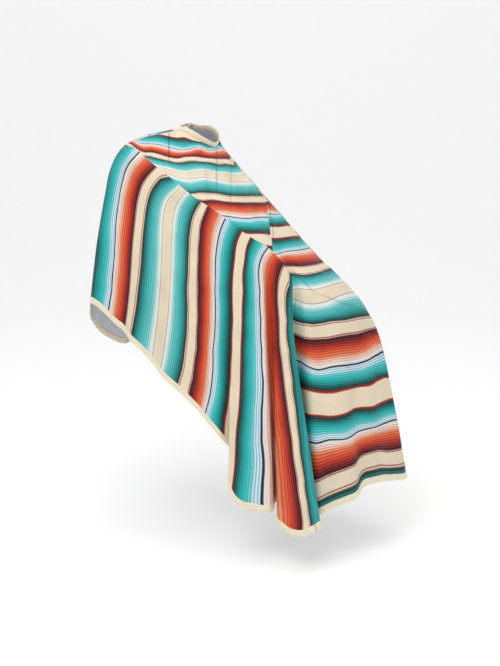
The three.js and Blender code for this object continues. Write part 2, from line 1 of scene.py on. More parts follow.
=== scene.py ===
import bpy, bmesh, json, math
import numpy as np
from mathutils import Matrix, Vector

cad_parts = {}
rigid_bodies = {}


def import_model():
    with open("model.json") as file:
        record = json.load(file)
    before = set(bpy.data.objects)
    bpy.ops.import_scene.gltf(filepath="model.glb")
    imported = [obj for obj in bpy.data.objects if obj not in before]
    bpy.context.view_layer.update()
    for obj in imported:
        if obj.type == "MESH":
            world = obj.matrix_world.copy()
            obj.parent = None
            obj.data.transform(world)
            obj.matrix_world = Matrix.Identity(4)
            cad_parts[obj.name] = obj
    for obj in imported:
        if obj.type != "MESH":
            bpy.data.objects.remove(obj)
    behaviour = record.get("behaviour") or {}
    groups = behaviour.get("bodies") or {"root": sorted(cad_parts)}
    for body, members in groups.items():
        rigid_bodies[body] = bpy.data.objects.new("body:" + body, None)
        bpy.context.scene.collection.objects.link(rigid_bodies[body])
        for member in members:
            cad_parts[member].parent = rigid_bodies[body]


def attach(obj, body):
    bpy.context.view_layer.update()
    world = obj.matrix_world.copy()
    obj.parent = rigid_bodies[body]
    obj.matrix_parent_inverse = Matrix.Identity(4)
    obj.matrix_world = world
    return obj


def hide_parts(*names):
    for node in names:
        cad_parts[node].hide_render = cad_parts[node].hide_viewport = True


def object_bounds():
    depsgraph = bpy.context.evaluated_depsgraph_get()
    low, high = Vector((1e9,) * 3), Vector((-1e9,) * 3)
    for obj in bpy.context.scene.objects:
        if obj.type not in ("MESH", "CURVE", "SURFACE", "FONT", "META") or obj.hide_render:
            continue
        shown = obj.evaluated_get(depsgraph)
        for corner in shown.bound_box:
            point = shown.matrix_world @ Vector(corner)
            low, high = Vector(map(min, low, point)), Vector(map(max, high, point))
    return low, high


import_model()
CAD_LO, CAD_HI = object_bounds()

# ---------------------------------------------------------------- the drape
# One strand per entry, in order round the neck: slit, back right, right side, front, left side, back left, slit.
# Each holds 14 points in metres: neckband top, neckband foot, four over the top (the last on the ridge), seven down
# the fall (the last on the binding's inner edge), and the hem. The same net is the base of the CAD solids.
# The *_S tables are the print's layout: the stripe coordinate at net points, in half repeats from the neckline.
# FIELD_FRONT and FIELD_SIDE set out the same coordinate on a flat plane in front of the cape, as (x, y, coordinate).
TOP_S = [[0.00,-0.03,-0.06,-0.09,-0.12],
 [0.00,-0.01,-0.03,-0.04,-0.05],
 [0.00,0.05,0.10,0.15,0.20],
 [0.00,0.10,0.21,0.32,0.42],
 [-0.04,0.01,0.09,0.17,0.59],
 [-0.04,0.03,0.11,0.24,0.71],
 [-0.04,0.03,0.13,0.29,0.79],
 [-0.04,0.02,0.13,0.23,0.61],
 [-0.03,0.07,0.26,0.54,0.85],
 [-0.03,0.15,0.45,0.78,1.13],
 [-0.03,0.29,0.68,1.02,1.40],
 [0.01,0.45,0.85,1.22,1.64],
 [0.03,0.50,0.96,1.33,1.80],
 [0.04,0.56,1.03,1.41,1.86],
 [0.04,0.63,1.09,1.50,1.92],
 [0.04,0.66,1.13,1.56,1.98],
 [0.05,0.69,1.17,1.62,2.04],
 [0.05,0.74,1.22,1.68,2.06],
 [0.06,0.79,1.27,1.76,2.11],
 [0.07,0.83,1.32,1.83,2.23],
 [0.09,0.87,1.38,1.89,2.43],
 [0.10,0.90,1.44,1.94,2.57],
 [0.11,0.94,1.51,1.99,2.64],
 [0.13,0.97,1.57,2.06,2.77],
 [0.14,1.00,1.64,2.20,2.90],
 [0.16,1.03,1.69,2.32,3.03],
 [0.18,1.05,1.73,2.42,3.12],
 [0.20,1.06,1.76,2.48,3.20],
 [0.21,1.06,1.77,2.52,3.26],
 [0.21,1.06,1.78,2.49,3.35],
 [0.20,1.07,1.79,2.50,3.38],
 [0.20,1.06,1.78,2.52,3.43],
 [0.21,1.05,1.76,2.50,3.37],
 [0.06,0.72,1.23,1.70,2.04],
 [0.04,0.58,1.08,1.42,1.77],
 [0.00,0.45,0.85,1.17,1.44],
 [0.00,0.17,0.53,0.83,1.12],
 [0.00,0.06,0.26,0.54,0.85],
 [0.00,0.07,0.30,0.57,1.03],
 [0.00,0.09,0.26,0.44,0.72],
 [0.00,0.10,0.21,0.32,0.42],
 [0.00,0.05,0.10,0.15,0.20],
 [0.00,-0.01,-0.03,-0.04,-0.05],
 [0.00,-0.03,-0.06,-0.09,-0.12]]
RIGHT_S = [[-0.25,-0.25,-0.25,-0.25,-0.25,-0.25,-0.25,-0.25,-0.25],
 [-0.06,-0.06,-0.06,-0.06,-0.06,-0.06,-0.06,-0.06,-0.06],
 [0.12,0.12,0.11,0.11,0.09,0.09,0.09,0.10,0.11],
 [0.13,0.13,0.11,0.10,0.10,0.08,0.09,0.09,0.09],
 [0.20,0.27,0.30,0.32,0.30,0.30,0.30,0.32,0.33],
 [0.46,0.61,0.65,0.66,0.67,0.68,0.70,0.74,0.74],
 [0.71,0.97,1.00,1.00,1.00,1.02,1.05,1.11,1.12],
 [1.20,1.35,1.38,1.38,1.38,1.39,1.43,1.48,1.48],
 [1.57,1.71,1.74,1.75,1.77,1.79,1.83,1.89,1.89],
 [1.77,1.90,1.95,1.96,1.99,2.02,2.07,2.10,2.10],
 [1.84,1.93,1.94,1.93,1.94,1.96,1.99,2.01,2.02],
 [1.93,2.04,2.04,2.06,2.06,2.10,2.11,2.15,2.15],
 [2.06,2.20,2.21,2.21,2.21,2.24,2.24,2.26,2.26],
 [2.19,2.34,2.34,2.35,2.33,2.34,2.33,2.34,2.33],
 [2.26,2.43,2.44,2.44,2.40,2.39,2.37,2.37,2.37],
 [2.33,2.50,2.50,2.48,2.44,2.41,2.40,2.39,2.39],
 [2.44,2.59,2.59,2.56,2.53,2.49,2.47,2.46,2.47],
 [2.54,2.68,2.71,2.68,2.66,2.65,2.63,2.61,2.62],
 [2.62,2.76,2.81,2.78,2.78,2.81,2.82,2.79,2.79]]
FRONT_S = [[2.63,3.16,3.52,3.86,4.05,4.33,4.56,4.74,4.80],
 [2.64,3.17,3.53,3.87,4.06,4.33,4.56,4.74,4.80],
 [2.77,3.18,3.51,3.85,4.04,4.32,4.54,4.74,4.80],
 [2.90,3.28,3.54,3.84,4.03,4.31,4.55,4.74,4.80],
 [3.03,3.38,3.61,3.88,4.05,4.32,4.56,4.74,4.80],
 [3.12,3.41,3.62,3.87,4.04,4.31,4.56,4.74,4.80],
 [3.20,3.44,3.66,3.90,4.05,4.33,4.58,4.74,4.80],
 [3.26,3.51,3.74,3.96,4.10,4.37,4.57,4.74,4.80],
 [3.35,3.62,3.81,4.00,4.16,4.41,4.59,4.74,4.80],
 [3.35,3.62,3.81,4.00,4.16,4.41,4.59,4.74,4.80]]
LEFT_S = [[3.48,3.28,3.09,2.89,2.89,2.89,2.89,2.89,2.89],
 [2.97,2.82,2.67,2.52,2.52,2.52,2.52,2.52,2.52],
 [2.39,2.28,2.18,2.07,2.07,2.07,2.07,2.07,2.07],
 [1.89,1.80,1.71,1.62,1.62,1.62,1.62,1.62,1.62],
 [1.47,1.37,1.28,1.18,1.18,1.18,1.18,1.18,1.18],
 [1.18,1.06,0.94,0.82,0.82,0.82,0.82,0.82,0.82],
 [0.87,0.75,0.64,0.52,0.52,0.52,0.52,0.52,0.52],
 [0.42,0.33,0.25,0.17,0.17,0.17,0.17,0.17,0.17],
 [0.00,0.00,0.00,0.00,0.00,0.00,0.00,0.00,0.00],
 [-0.12,-0.12,-0.12,-0.12,-0.12,-0.12,-0.12,-0.12,-0.12],
 [-0.25,-0.25,-0.25,-0.25,-0.25,-0.25,-0.25,-0.25,-0.25]]
BACK_R_S = [[-0.12,-0.26,-0.39,-0.52,-0.65,-0.78,-0.91,-1.04,-1.09],
 [-0.05,-0.20,-0.35,-0.50,-0.64,-0.79,-0.94,-1.08,-1.13],
 [0.20,-0.00,-0.20,-0.39,-0.59,-0.78,-0.97,-1.17,-1.22],
 [0.42,0.18,-0.06,-0.30,-0.53,-0.77,-1.01,-1.24,-1.29]]
BACK_L_S = [[0.42,0.18,-0.05,-0.28,-0.51,-0.73,-0.96,-1.19,-1.24],
 [0.20,0.00,-0.19,-0.38,-0.57,-0.77,-0.96,-1.15,-1.20],
 [-0.05,-0.20,-0.35,-0.50,-0.64,-0.79,-0.93,-1.08,-1.13],
 [-0.12,-0.26,-0.39,-0.52,-0.65,-0.78,-0.91,-1.04,-1.09]]
DRAPE = [[(-0.0101,0.0504,0.0460),(-0.0101,0.0582,0.0344),(-0.0106,0.0774,0.0307),(-0.0110,0.0966,0.0264),(-0.0115,0.1158,0.0215),(-0.0120,0.1350,0.0160),(-0.0120,0.1552,-0.0343),(-0.0120,0.1636,-0.0846),(-0.0120,0.1700,-0.1349),(-0.0120,0.1755,-0.1853),(-0.0120,0.1802,-0.2356),(-0.0120,0.1845,-0.2859),(-0.0120,0.1885,-0.3362),(-0.0120,0.1900,-0.3560)],
 [(-0.0232,0.0504,0.0460),(-0.0232,0.0582,0.0344),(-0.0244,0.0784,0.0308),(-0.0256,0.0986,0.0265),(-0.0268,0.1188,0.0215),(-0.0280,0.1390,0.0160),(-0.0269,0.1585,-0.0407),(-0.0264,0.1666,-0.0975),(-0.0261,0.1729,-0.1542),(-0.0258,0.1781,-0.2109),(-0.0255,0.1827,-0.2677),(-0.0253,0.1869,-0.3244),(-0.0251,0.1907,-0.3812),(-0.0250,0.1920,-0.4010)],
 [(-0.0311,0.0504,0.0460),(-0.0311,0.0582,0.0344),(-0.0408,0.0817,0.0305),(-0.0505,0.1051,0.0258),(-0.0603,0.1286,0.0203),(-0.0700,0.1520,0.0140),(-0.0663,0.1717,-0.0617),(-0.0648,0.1798,-0.1375),(-0.0636,0.1861,-0.2132),(-0.0626,0.1913,-0.2889),(-0.0617,0.1960,-0.3646),(-0.0609,0.2002,-0.4404),(-0.0602,0.2040,-0.5161),(-0.0600,0.2050,-0.5360)],
 [(-0.0436,0.0444,0.0423),(-0.0445,0.0531,0.0313),(-0.0633,0.0806,0.0255),(-0.0822,0.1080,0.0187),(-0.1011,0.1355,0.0109),(-0.1200,0.1630,0.0020),(-0.1144,0.1879,-0.0899),(-0.1121,0.1983,-0.1817),(-0.1103,0.2062,-0.2736),(-0.1088,0.2129,-0.3655),(-0.1075,0.2188,-0.4574),(-0.1063,0.2241,-0.5492),(-0.1052,0.2290,-0.6411),(-0.1050,0.2300,-0.6610)],
 [(-0.0497,0.0397,0.0406),(-0.0515,0.0488,0.0298),(-0.0787,0.0781,0.0222),(-0.1058,0.1074,0.0134),(-0.1329,0.1367,0.0033),(-0.1600,0.1660,-0.0080),(-0.1712,0.2046,-0.0918),(-0.1758,0.2206,-0.1757),(-0.1793,0.2329,-0.2595),(-0.1823,0.2432,-0.3433),(-0.1849,0.2523,-0.4271),(-0.1873,0.2606,-0.5110),(-0.1895,0.2682,-0.5948),(-0.1900,0.2699,-0.6145)],
 [(-0.0536,0.0355,0.0403),(-0.0563,0.0446,0.0294),(-0.0890,0.0725,0.0208),(-0.1216,0.1003,0.0109),(-0.1543,0.1282,-0.0004),(-0.1870,0.1560,-0.0130),(-0.2104,0.1964,-0.0865),(-0.2201,0.2132,-0.1599),(-0.2275,0.2260,-0.2334),(-0.2337,0.2369,-0.3068),(-0.2393,0.2464,-0.3803),(-0.2443,0.2550,-0.4537),(-0.2488,0.2630,-0.5272),(-0.2500,0.2650,-0.5466)],
 [(-0.0560,0.0322,0.0406),(-0.0590,0.0410,0.0295),(-0.0955,0.0668,0.0197),(-0.1320,0.0926,0.0086),(-0.1685,0.1184,-0.0040),(-0.2050,0.1442,-0.0179),(-0.2346,0.1767,-0.0833),(-0.2469,0.1902,-0.1487),(-0.2563,0.2005,-0.2141),(-0.2642,0.2092,-0.2795),(-0.2712,0.2169,-0.3449),(-0.2775,0.2239,-0.4103),(-0.2834,0.2302,-0.4757),(-0.2850,0.2320,-0.4951)],
 [(-0.0595,0.0252,0.0419),(-0.0627,0.0332,0.0303),(-0.1008,0.0514,0.0215),(-0.1389,0.0696,0.0113),(-0.1769,0.0878,-0.0002),(-0.2150,0.1060,-0.0130),(-0.2409,0.1220,-0.0849),(-0.2529,0.1294,-0.1568),(-0.2623,0.1352,-0.2287),(-0.2704,0.1402,-0.3006),(-0.2777,0.1447,-0.3726),(-0.2843,0.1487,-0.4445),(-0.2904,0.1525,-0.5164),(-0.2920,0.1535,-0.5361)],
 [(-0.0647,0.0093,0.0394),(-0.0682,0.0164,0.0273),(-0.1061,0.0214,0.0087),(-0.1441,0.0264,-0.0112),(-0.1820,0.0314,-0.0324),(-0.2200,0.0364,-0.0549),(-0.2419,0.0412,-0.1308),(-0.2532,0.0437,-0.2068),(-0.2624,0.0457,-0.2827),(-0.2703,0.0475,-0.3586),(-0.2776,0.0491,-0.4345),(-0.2842,0.0506,-0.5105),(-0.2904,0.0519,-0.5864),(-0.2920,0.0523,-0.6062)],
 [(-0.0645,-0.0095,0.0320),(-0.0680,-0.0034,0.0194),(-0.1060,-0.0126,-0.0070),(-0.1440,-0.0216,-0.0358),(-0.1820,-0.0306,-0.0670),(-0.2200,-0.0395,-0.1007),(-0.2385,-0.0414,-0.1827),(-0.2490,-0.0425,-0.2648),(-0.2578,-0.0434,-0.3468),(-0.2656,-0.0443,-0.4289),(-0.2727,-0.0450,-0.5110),(-0.2793,-0.0457,-0.5930),(-0.2855,-0.0464,-0.6751),(-0.2870,-0.0465,-0.6950)],
 [(-0.0575,-0.0257,0.0223),(-0.0606,-0.0205,0.0092),(-0.0994,-0.0324,-0.0190),(-0.1370,-0.0546,-0.0553),(-0.1746,-0.0820,-0.0979),(-0.2150,-0.1177,-0.1519),(-0.2313,-0.1249,-0.2373),(-0.2414,-0.1294,-0.3228),(-0.2501,-0.1332,-0.4083),(-0.2579,-0.1367,-0.4938),(-0.2652,-0.1399,-0.5793),(-0.2720,-0.1429,-0.6647),(-0.2785,-0.1458,-0.7502),(-0.2800,-0.1464,-0.7701)],
 [(-0.0479,-0.0365,0.0134),(-0.0505,-0.0318,0.0000),(-0.0931,-0.0509,-0.0303),(-0.1302,-0.0850,-0.0735),(-0.1673,-0.1273,-0.1254),(-0.2050,-0.1916,-0.1928),(-0.2202,-0.2027,-0.2850),(-0.2306,-0.2102,-0.3771),(-0.2397,-0.2168,-0.4692),(-0.2480,-0.2229,-0.5614),(-0.2559,-0.2286,-0.6535),(-0.2633,-0.2340,-0.7456),(-0.2705,-0.2392,-0.8378),(-0.2720,-0.2403,-0.8576)],
 [(-0.0424,-0.0407,0.0093),(-0.0447,-0.0363,-0.0043),(-0.0872,-0.0673,-0.0405),(-0.1238,-0.1113,-0.0895),(-0.1604,-0.1632,-0.1477),(-0.1960,-0.2309,-0.2208),(-0.2049,-0.2428,-0.3207),(-0.2109,-0.2509,-0.4206),(-0.2162,-0.2580,-0.5204),(-0.2211,-0.2646,-0.6203),(-0.2257,-0.2707,-0.7202),(-0.2300,-0.2766,-0.8201),(-0.2342,-0.2822,-0.9199),(-0.2350,-0.2833,-0.9399)],
 [(-0.0403,-0.0421,0.0077),(-0.0424,-0.0378,-0.0058),(-0.0818,-0.0810,-0.0492),(-0.1179,-0.1329,-0.1029),(-0.1540,-0.1901,-0.1649),(-0.1900,-0.2443,-0.2324),(-0.2128,-0.2529,-0.3381),(-0.2283,-0.2588,-0.4438),(-0.2419,-0.2639,-0.5496),(-0.2544,-0.2687,-0.6553),(-0.2662,-0.2731,-0.7610),(-0.2773,-0.2773,-0.8667),(-0.2880,-0.2814,-0.9724),(-0.2900,-0.2821,-0.9922)],
 [(-0.0375,-0.0438,0.0059),(-0.0395,-0.0395,-0.0077),(-0.0770,-0.0922,-0.0567),(-0.1125,-0.1504,-0.1141),(-0.1480,-0.2111,-0.1786),(-0.1850,-0.2652,-0.2463),(-0.2108,-0.2789,-0.3584),(-0.2283,-0.2883,-0.4704),(-0.2437,-0.2965,-0.5825),(-0.2579,-0.3040,-0.6946),(-0.2712,-0.3110,-0.8066),(-0.2838,-0.3178,-0.9187),(-0.2959,-0.3242,-1.0308),(-0.2980,-0.3253,-1.0505)],
 [(-0.0341,-0.0456,0.0038),(-0.0360,-0.0414,-0.0098),(-0.0727,-0.1013,-0.0630),(-0.1075,-0.1647,-0.1237),(-0.1424,-0.2292,-0.1902),(-0.1780,-0.2918,-0.2630),(-0.2035,-0.3110,-0.3737),(-0.2210,-0.3241,-0.4843),(-0.2362,-0.3355,-0.5950),(-0.2502,-0.3461,-0.7057),(-0.2634,-0.3560,-0.8163),(-0.2759,-0.3654,-0.9270),(-0.2879,-0.3744,-1.0376),(-0.2900,-0.3760,-1.0573)],
 [(-0.0309,-0.0470,0.0020),(-0.0326,-0.0430,-0.0117),(-0.0687,-0.1087,-0.0686),(-0.1029,-0.1769,-0.1323),(-0.1370,-0.2456,-0.2009),(-0.1700,-0.3177,-0.2769),(-0.1928,-0.3400,-0.3860),(-0.2083,-0.3552,-0.4951),(-0.2220,-0.3685,-0.6042),(-0.2345,-0.3808,-0.7134),(-0.2462,-0.3923,-0.8225),(-0.2574,-0.4032,-0.9316),(-0.2681,-0.4137,-1.0407),(-0.2700,-0.4156,-1.0604)],
 [(-0.0290,-0.0479,0.0009),(-0.0305,-0.0439,-0.0128),(-0.0650,-0.1151,-0.0738),(-0.0983,-0.1875,-0.1405),(-0.1319,-0.2605,-0.2113),(-0.1650,-0.3351,-0.2851),(-0.1696,-0.3468,-0.3935),(-0.1727,-0.3548,-0.5020),(-0.1754,-0.3618,-0.6104),(-0.1779,-0.3682,-0.7189),(-0.1802,-0.3742,-0.8274),(-0.1825,-0.3800,-0.9358),(-0.1846,-0.3855,-1.0443),(-0.1850,-0.3865,-1.0642)],
 [(-0.0273,-0.0485,0.0001),(-0.0288,-0.0445,-0.0137),(-0.0614,-0.1207,-0.0788),(-0.0938,-0.1972,-0.1489),(-0.1268,-0.2740,-0.2224),(-0.1600,-0.3491,-0.2965),(-0.1805,-0.3702,-0.4094),(-0.1945,-0.3845,-0.5224),(-0.2068,-0.3971,-0.6353),(-0.2181,-0.4087,-0.7482),(-0.2286,-0.4196,-0.8612),(-0.2387,-0.4299,-0.9741),(-0.2483,-0.4398,-1.0871),(-0.2500,-0.4415,-1.1068)],
 [(-0.0255,-0.0491,-0.0008),(-0.0269,-0.0452,-0.0146),(-0.0578,-0.1259,-0.0840),(-0.0891,-0.2062,-0.1578),(-0.1213,-0.2861,-0.2348),(-0.1550,-0.3665,-0.3135),(-0.1730,-0.3857,-0.4257),(-0.1898,-0.4036,-0.5378),(-0.2061,-0.4211,-0.6500),(-0.2222,-0.4382,-0.7622),(-0.2380,-0.4552,-0.8743),(-0.2537,-0.4719,-0.9865),(-0.2693,-0.4886,-1.0987),(-0.2720,-0.4914,-1.1182)],
 [(-0.0236,-0.0498,-0.0017),(-0.0249,-0.0459,-0.0155),(-0.0540,-0.1310,-0.0893),(-0.0840,-0.2151,-0.1673),(-0.1150,-0.2976,-0.2486),(-0.1480,-0.3827,-0.3339),(-0.1612,-0.3999,-0.4419),(-0.1767,-0.4201,-0.5500),(-0.1932,-0.4416,-0.6580),(-0.2103,-0.4640,-0.7660),(-0.2280,-0.4871,-0.8741),(-0.2462,-0.5108,-0.9821),(-0.2646,-0.5349,-1.0902),(-0.2680,-0.5393,-1.1095)],
 [(-0.0219,-0.0503,-0.0025),(-0.0231,-0.0464,-0.0162),(-0.0498,-0.1362,-0.0949),(-0.0782,-0.2245,-0.1774),(-0.1077,-0.3096,-0.2634),(-0.1400,-0.3950,-0.3578),(-0.1489,-0.4092,-0.4605),(-0.1612,-0.4289,-0.5631),(-0.1752,-0.4514,-0.6658),(-0.1905,-0.4758,-0.7685),(-0.2067,-0.5018,-0.8712),(-0.2238,-0.5292,-0.9738),(-0.2416,-0.5577,-1.0765),(-0.2450,-0.5632,-1.0958)],
 [(-0.0192,-0.0510,-0.0036),(-0.0202,-0.0472,-0.0174),(-0.0449,-0.1416,-0.1006),(-0.0716,-0.2347,-0.1881),(-0.0997,-0.3236,-0.2790),(-0.1220,-0.3982,-0.3722),(-0.1215,-0.4026,-0.4752),(-0.1207,-0.4090,-0.5782),(-0.1198,-0.4165,-0.6813),(-0.1187,-0.4248,-0.7843),(-0.1176,-0.4338,-0.8873),(-0.1165,-0.4433,-0.9904),(-0.1152,-0.4533,-1.0934),(-0.1150,-0.4553,-1.1134)],
 [(-0.0175,-0.0514,-0.0042),(-0.0184,-0.0476,-0.0181),(-0.0393,-0.1473,-0.1065),(-0.0635,-0.2459,-0.1991),(-0.0904,-0.3409,-0.2953),(-0.1180,-0.4264,-0.3912),(-0.1298,-0.4498,-0.4864),(-0.1379,-0.4658,-0.5817),(-0.1449,-0.4798,-0.6769),(-0.1514,-0.4927,-0.7722),(-0.1575,-0.5048,-0.8674),(-0.1633,-0.5163,-0.9627),(-0.1689,-0.5273,-1.0579),(-0.1700,-0.5295,-1.0777)],
 [(-0.0149,-0.0519,-0.0051),(-0.0157,-0.0482,-0.0190),(-0.0326,-0.1529,-0.1121),(-0.0536,-0.2577,-0.2100),(-0.0789,-0.3612,-0.3120),(-0.1080,-0.4612,-0.4164),(-0.1141,-0.4878,-0.5043),(-0.1183,-0.5059,-0.5923),(-0.1220,-0.5217,-0.6802),(-0.1253,-0.5363,-0.7681),(-0.1285,-0.5500,-0.8561),(-0.1315,-0.5630,-0.9440),(-0.1344,-0.5754,-1.0319),(-0.1350,-0.5781,-1.0516)],
 [(-0.0122,-0.0524,-0.0060),(-0.0129,-0.0487,-0.0198),(-0.0247,-0.1579,-0.1172),(-0.0413,-0.2691,-0.2203),(-0.0633,-0.3823,-0.3284),(-0.0950,-0.5011,-0.4446),(-0.0905,-0.5260,-0.5262),(-0.0874,-0.5431,-0.6077),(-0.0847,-0.5580,-0.6893),(-0.0822,-0.5717,-0.7709),(-0.0798,-0.5846,-0.8524),(-0.0776,-0.5968,-0.9340),(-0.0755,-0.6085,-1.0156),(-0.0750,-0.6113,-1.0352)],
 [(-0.0086,-0.0529,-0.0069),(-0.0091,-0.0491,-0.0208),(-0.0155,-0.1617,-0.1212),(-0.0265,-0.2784,-0.2291),(-0.0422,-0.4011,-0.3438),(-0.0700,-0.5279,-0.4613),(-0.0598,-0.5472,-0.5375),(-0.0529,-0.5604,-0.6137),(-0.0468,-0.5719,-0.6899),(-0.0412,-0.5825,-0.7661),(-0.0360,-0.5925,-0.8424),(-0.0310,-0.6020,-0.9186),(-0.0262,-0.6110,-0.9948),(-0.0250,-0.6133,-1.0145)],
 [(-0.0036,-0.0533,-0.0079),(-0.0038,-0.0496,-0.0218),(-0.0054,-0.1632,-0.1235),(-0.0097,-0.2835,-0.2351),(-0.0160,-0.4143,-0.3567),(-0.0300,-0.5475,-0.4770),(-0.0187,-0.5674,-0.5509),(-0.0110,-0.5810,-0.6247),(-0.0042,-0.5929,-0.6986),(0.0020,-0.6038,-0.7724),(0.0078,-0.6141,-0.8462),(0.0133,-0.6238,-0.9201),(0.0186,-0.6332,-0.9939),(0.0200,-0.6356,-1.0136)],
 [(0.0023,-0.0533,-0.0081),(0.0025,-0.0496,-0.0219),(0.0053,-0.1616,-0.1233),(0.0080,-0.2822,-0.2365),(0.0125,-0.4179,-0.3644),(0.0200,-0.5627,-0.4953),(0.0324,-0.5842,-0.5680),(0.0409,-0.5988,-0.6407),(0.0483,-0.6116,-0.7134),(0.0551,-0.6233,-0.7861),(0.0615,-0.6344,-0.8588),(0.0676,-0.6449,-0.9315),(0.0735,-0.6549,-1.0043),(0.0750,-0.6576,-1.0238)],
 [(0.0079,-0.0530,-0.0071),(0.0084,-0.0492,-0.0210),(0.0162,-0.1561,-0.1200),(0.0253,-0.2728,-0.2318),(0.0394,-0.4073,-0.3621),(0.0700,-0.5741,-0.5266),(0.0824,-0.5963,-0.5958),(0.0909,-0.6114,-0.6650),(0.0983,-0.6247,-0.7342),(0.1051,-0.6369,-0.8034),(0.1115,-0.6483,-0.8726),(0.1176,-0.6592,-0.9418),(0.1234,-0.6696,-1.0109),(0.1250,-0.6725,-1.0305)],
 [(0.0114,-0.0525,-0.0062),(0.0120,-0.0488,-0.0201),(0.0269,-0.1461,-0.1130),(0.0414,-0.2544,-0.2196),(0.0616,-0.3792,-0.3454),(0.0950,-0.5397,-0.5100),(0.1187,-0.5308,-0.5774),(0.1348,-0.5247,-0.6447),(0.1490,-0.5193,-0.7121),(0.1619,-0.5144,-0.7794),(0.1741,-0.5098,-0.8468),(0.1857,-0.5054,-0.9141),(0.1969,-0.5012,-0.9815),(0.2000,-0.5000,-1.0010)],
 [(0.0148,-0.0520,-0.0052),(0.0155,-0.0482,-0.0190),(0.0374,-0.1316,-0.1023),(0.0559,-0.2272,-0.2000),(0.0786,-0.3342,-0.3132),(0.1050,-0.4547,-0.4465),(0.1332,-0.4424,-0.5151),(0.1524,-0.4340,-0.5837),(0.1693,-0.4266,-0.6523),(0.1848,-0.4198,-0.7209),(0.1993,-0.4134,-0.7895),(0.2131,-0.4074,-0.8581),(0.2264,-0.4016,-0.9267),(0.2300,-0.4000,-0.9460)],
 [(0.0203,-0.0507,-0.0031),(0.0214,-0.0469,-0.0169),(0.0477,-0.1127,-0.0883),(0.0690,-0.1926,-0.1740),(0.0921,-0.2773,-0.2692),(0.1150,-0.3537,-0.3653),(0.1443,-0.3370,-0.4341),(0.1643,-0.3257,-0.5029),(0.1819,-0.3158,-0.5717),(0.1980,-0.3066,-0.6405),(0.2131,-0.2981,-0.7093),(0.2275,-0.2899,-0.7780),(0.2412,-0.2821,-0.8468),(0.2450,-0.2800,-0.8660)],
 [(0.0283,-0.0481,0.0006),(0.0298,-0.0441,-0.0132),(0.0580,-0.0898,-0.0714),(0.0814,-0.1523,-0.1437),(0.1046,-0.2150,-0.2197),(0.1250,-0.2614,-0.2846),(0.1543,-0.2363,-0.3507),(0.1743,-0.2191,-0.4168),(0.1918,-0.2041,-0.4829),(0.2079,-0.1903,-0.5489),(0.2230,-0.1774,-0.6150),(0.2374,-0.1651,-0.6811),(0.2512,-0.1533,-0.7472),(0.2550,-0.1500,-0.7660)],
 [(0.0404,-0.0421,0.0078),(0.0425,-0.0377,-0.0057),(0.0683,-0.0632,-0.0525),(0.0938,-0.1081,-0.1110),(0.1179,-0.1518,-0.1701),(0.1400,-0.1792,-0.2246),(0.1682,-0.1433,-0.2865),(0.1874,-0.1189,-0.3483),(0.2042,-0.0974,-0.4102),(0.2197,-0.0777,-0.4721),(0.2342,-0.0593,-0.5340),(0.2480,-0.0417,-0.5959),(0.2612,-0.0249,-0.6578),(0.2650,-0.0200,-0.6760)],
 [(0.0522,-0.0324,0.0171),(0.0550,-0.0275,0.0038),(0.0788,-0.0338,-0.0323),(0.1066,-0.0609,-0.0775),(0.1327,-0.0879,-0.1226),(0.1550,-0.1180,-0.1684),(0.1820,-0.0711,-0.2270),(0.2005,-0.0392,-0.2856),(0.2166,-0.0112,-0.3442),(0.2314,0.0145,-0.4028),(0.2454,0.0386,-0.4614),(0.2586,0.0616,-0.5200),(0.2713,0.0836,-0.5786),(0.2750,0.0900,-0.5960)],
 [(0.0629,-0.0152,0.0290),(0.0662,-0.0094,0.0162),(0.0893,-0.0021,-0.0115),(0.1198,-0.0116,-0.0441),(0.1492,-0.0217,-0.0772),(0.1720,-0.0508,-0.1149),(0.1975,-0.0011,-0.1740),(0.2148,0.0328,-0.2331),(0.2300,0.0626,-0.2922),(0.2440,0.0899,-0.3513),(0.2571,0.1155,-0.4104),(0.2696,0.1399,-0.4696),(0.2816,0.1633,-0.5287),(0.2850,0.1700,-0.5460)],
 [(0.0632,0.0153,0.0411),(0.0666,0.0227,0.0292),(0.1000,0.0307,0.0097),(0.1333,0.0388,-0.0110),(0.1667,0.0469,-0.0329),(0.2000,0.0550,-0.0560),(0.2258,0.1096,-0.1177),(0.2391,0.1378,-0.1793),(0.2499,0.1606,-0.2410),(0.2593,0.1805,-0.3027),(0.2678,0.1985,-0.3644),(0.2756,0.2151,-0.4260),(0.2829,0.2306,-0.4877),(0.2850,0.2350,-0.5060)],
 [(0.0588,0.0268,0.0416),(0.0620,0.0350,0.0302),(0.0977,0.0538,0.0102),(0.1335,0.0725,-0.0112),(0.1692,0.0913,-0.0339),(0.2050,0.1100,-0.0580),(0.2235,0.1663,-0.1250),(0.2312,0.1896,-0.1920),(0.2371,0.2076,-0.2590),(0.2421,0.2226,-0.3260),(0.2464,0.2359,-0.3930),(0.2504,0.2480,-0.4600),(0.2540,0.2590,-0.5270),(0.2550,0.2620,-0.5460)],
 [(0.0536,0.0355,0.0403),(0.0563,0.0446,0.0294),(0.0872,0.0710,0.0135),(0.1182,0.0973,-0.0036),(0.1491,0.1237,-0.0222),(0.1800,0.1500,-0.0420),(0.1837,0.1871,-0.1198),(0.1853,0.2025,-0.1975),(0.1864,0.2143,-0.2753),(0.1874,0.2243,-0.3530),(0.1883,0.2330,-0.4308),(0.1891,0.2410,-0.5086),(0.1898,0.2482,-0.5863),(0.1900,0.2500,-0.6060)],
 [(0.0446,0.0438,0.0420),(0.0456,0.0525,0.0310),(0.0654,0.0801,0.0204),(0.0853,0.1078,0.0087),(0.1051,0.1354,-0.0041),(0.1250,0.1630,-0.0180),(0.1176,0.1879,-0.1070),(0.1145,0.1983,-0.1960),(0.1121,0.2062,-0.2851),(0.1101,0.2129,-0.3741),(0.1084,0.2187,-0.4631),(0.1068,0.2241,-0.5521),(0.1053,0.2290,-0.6411),(0.1050,0.2300,-0.6610)],
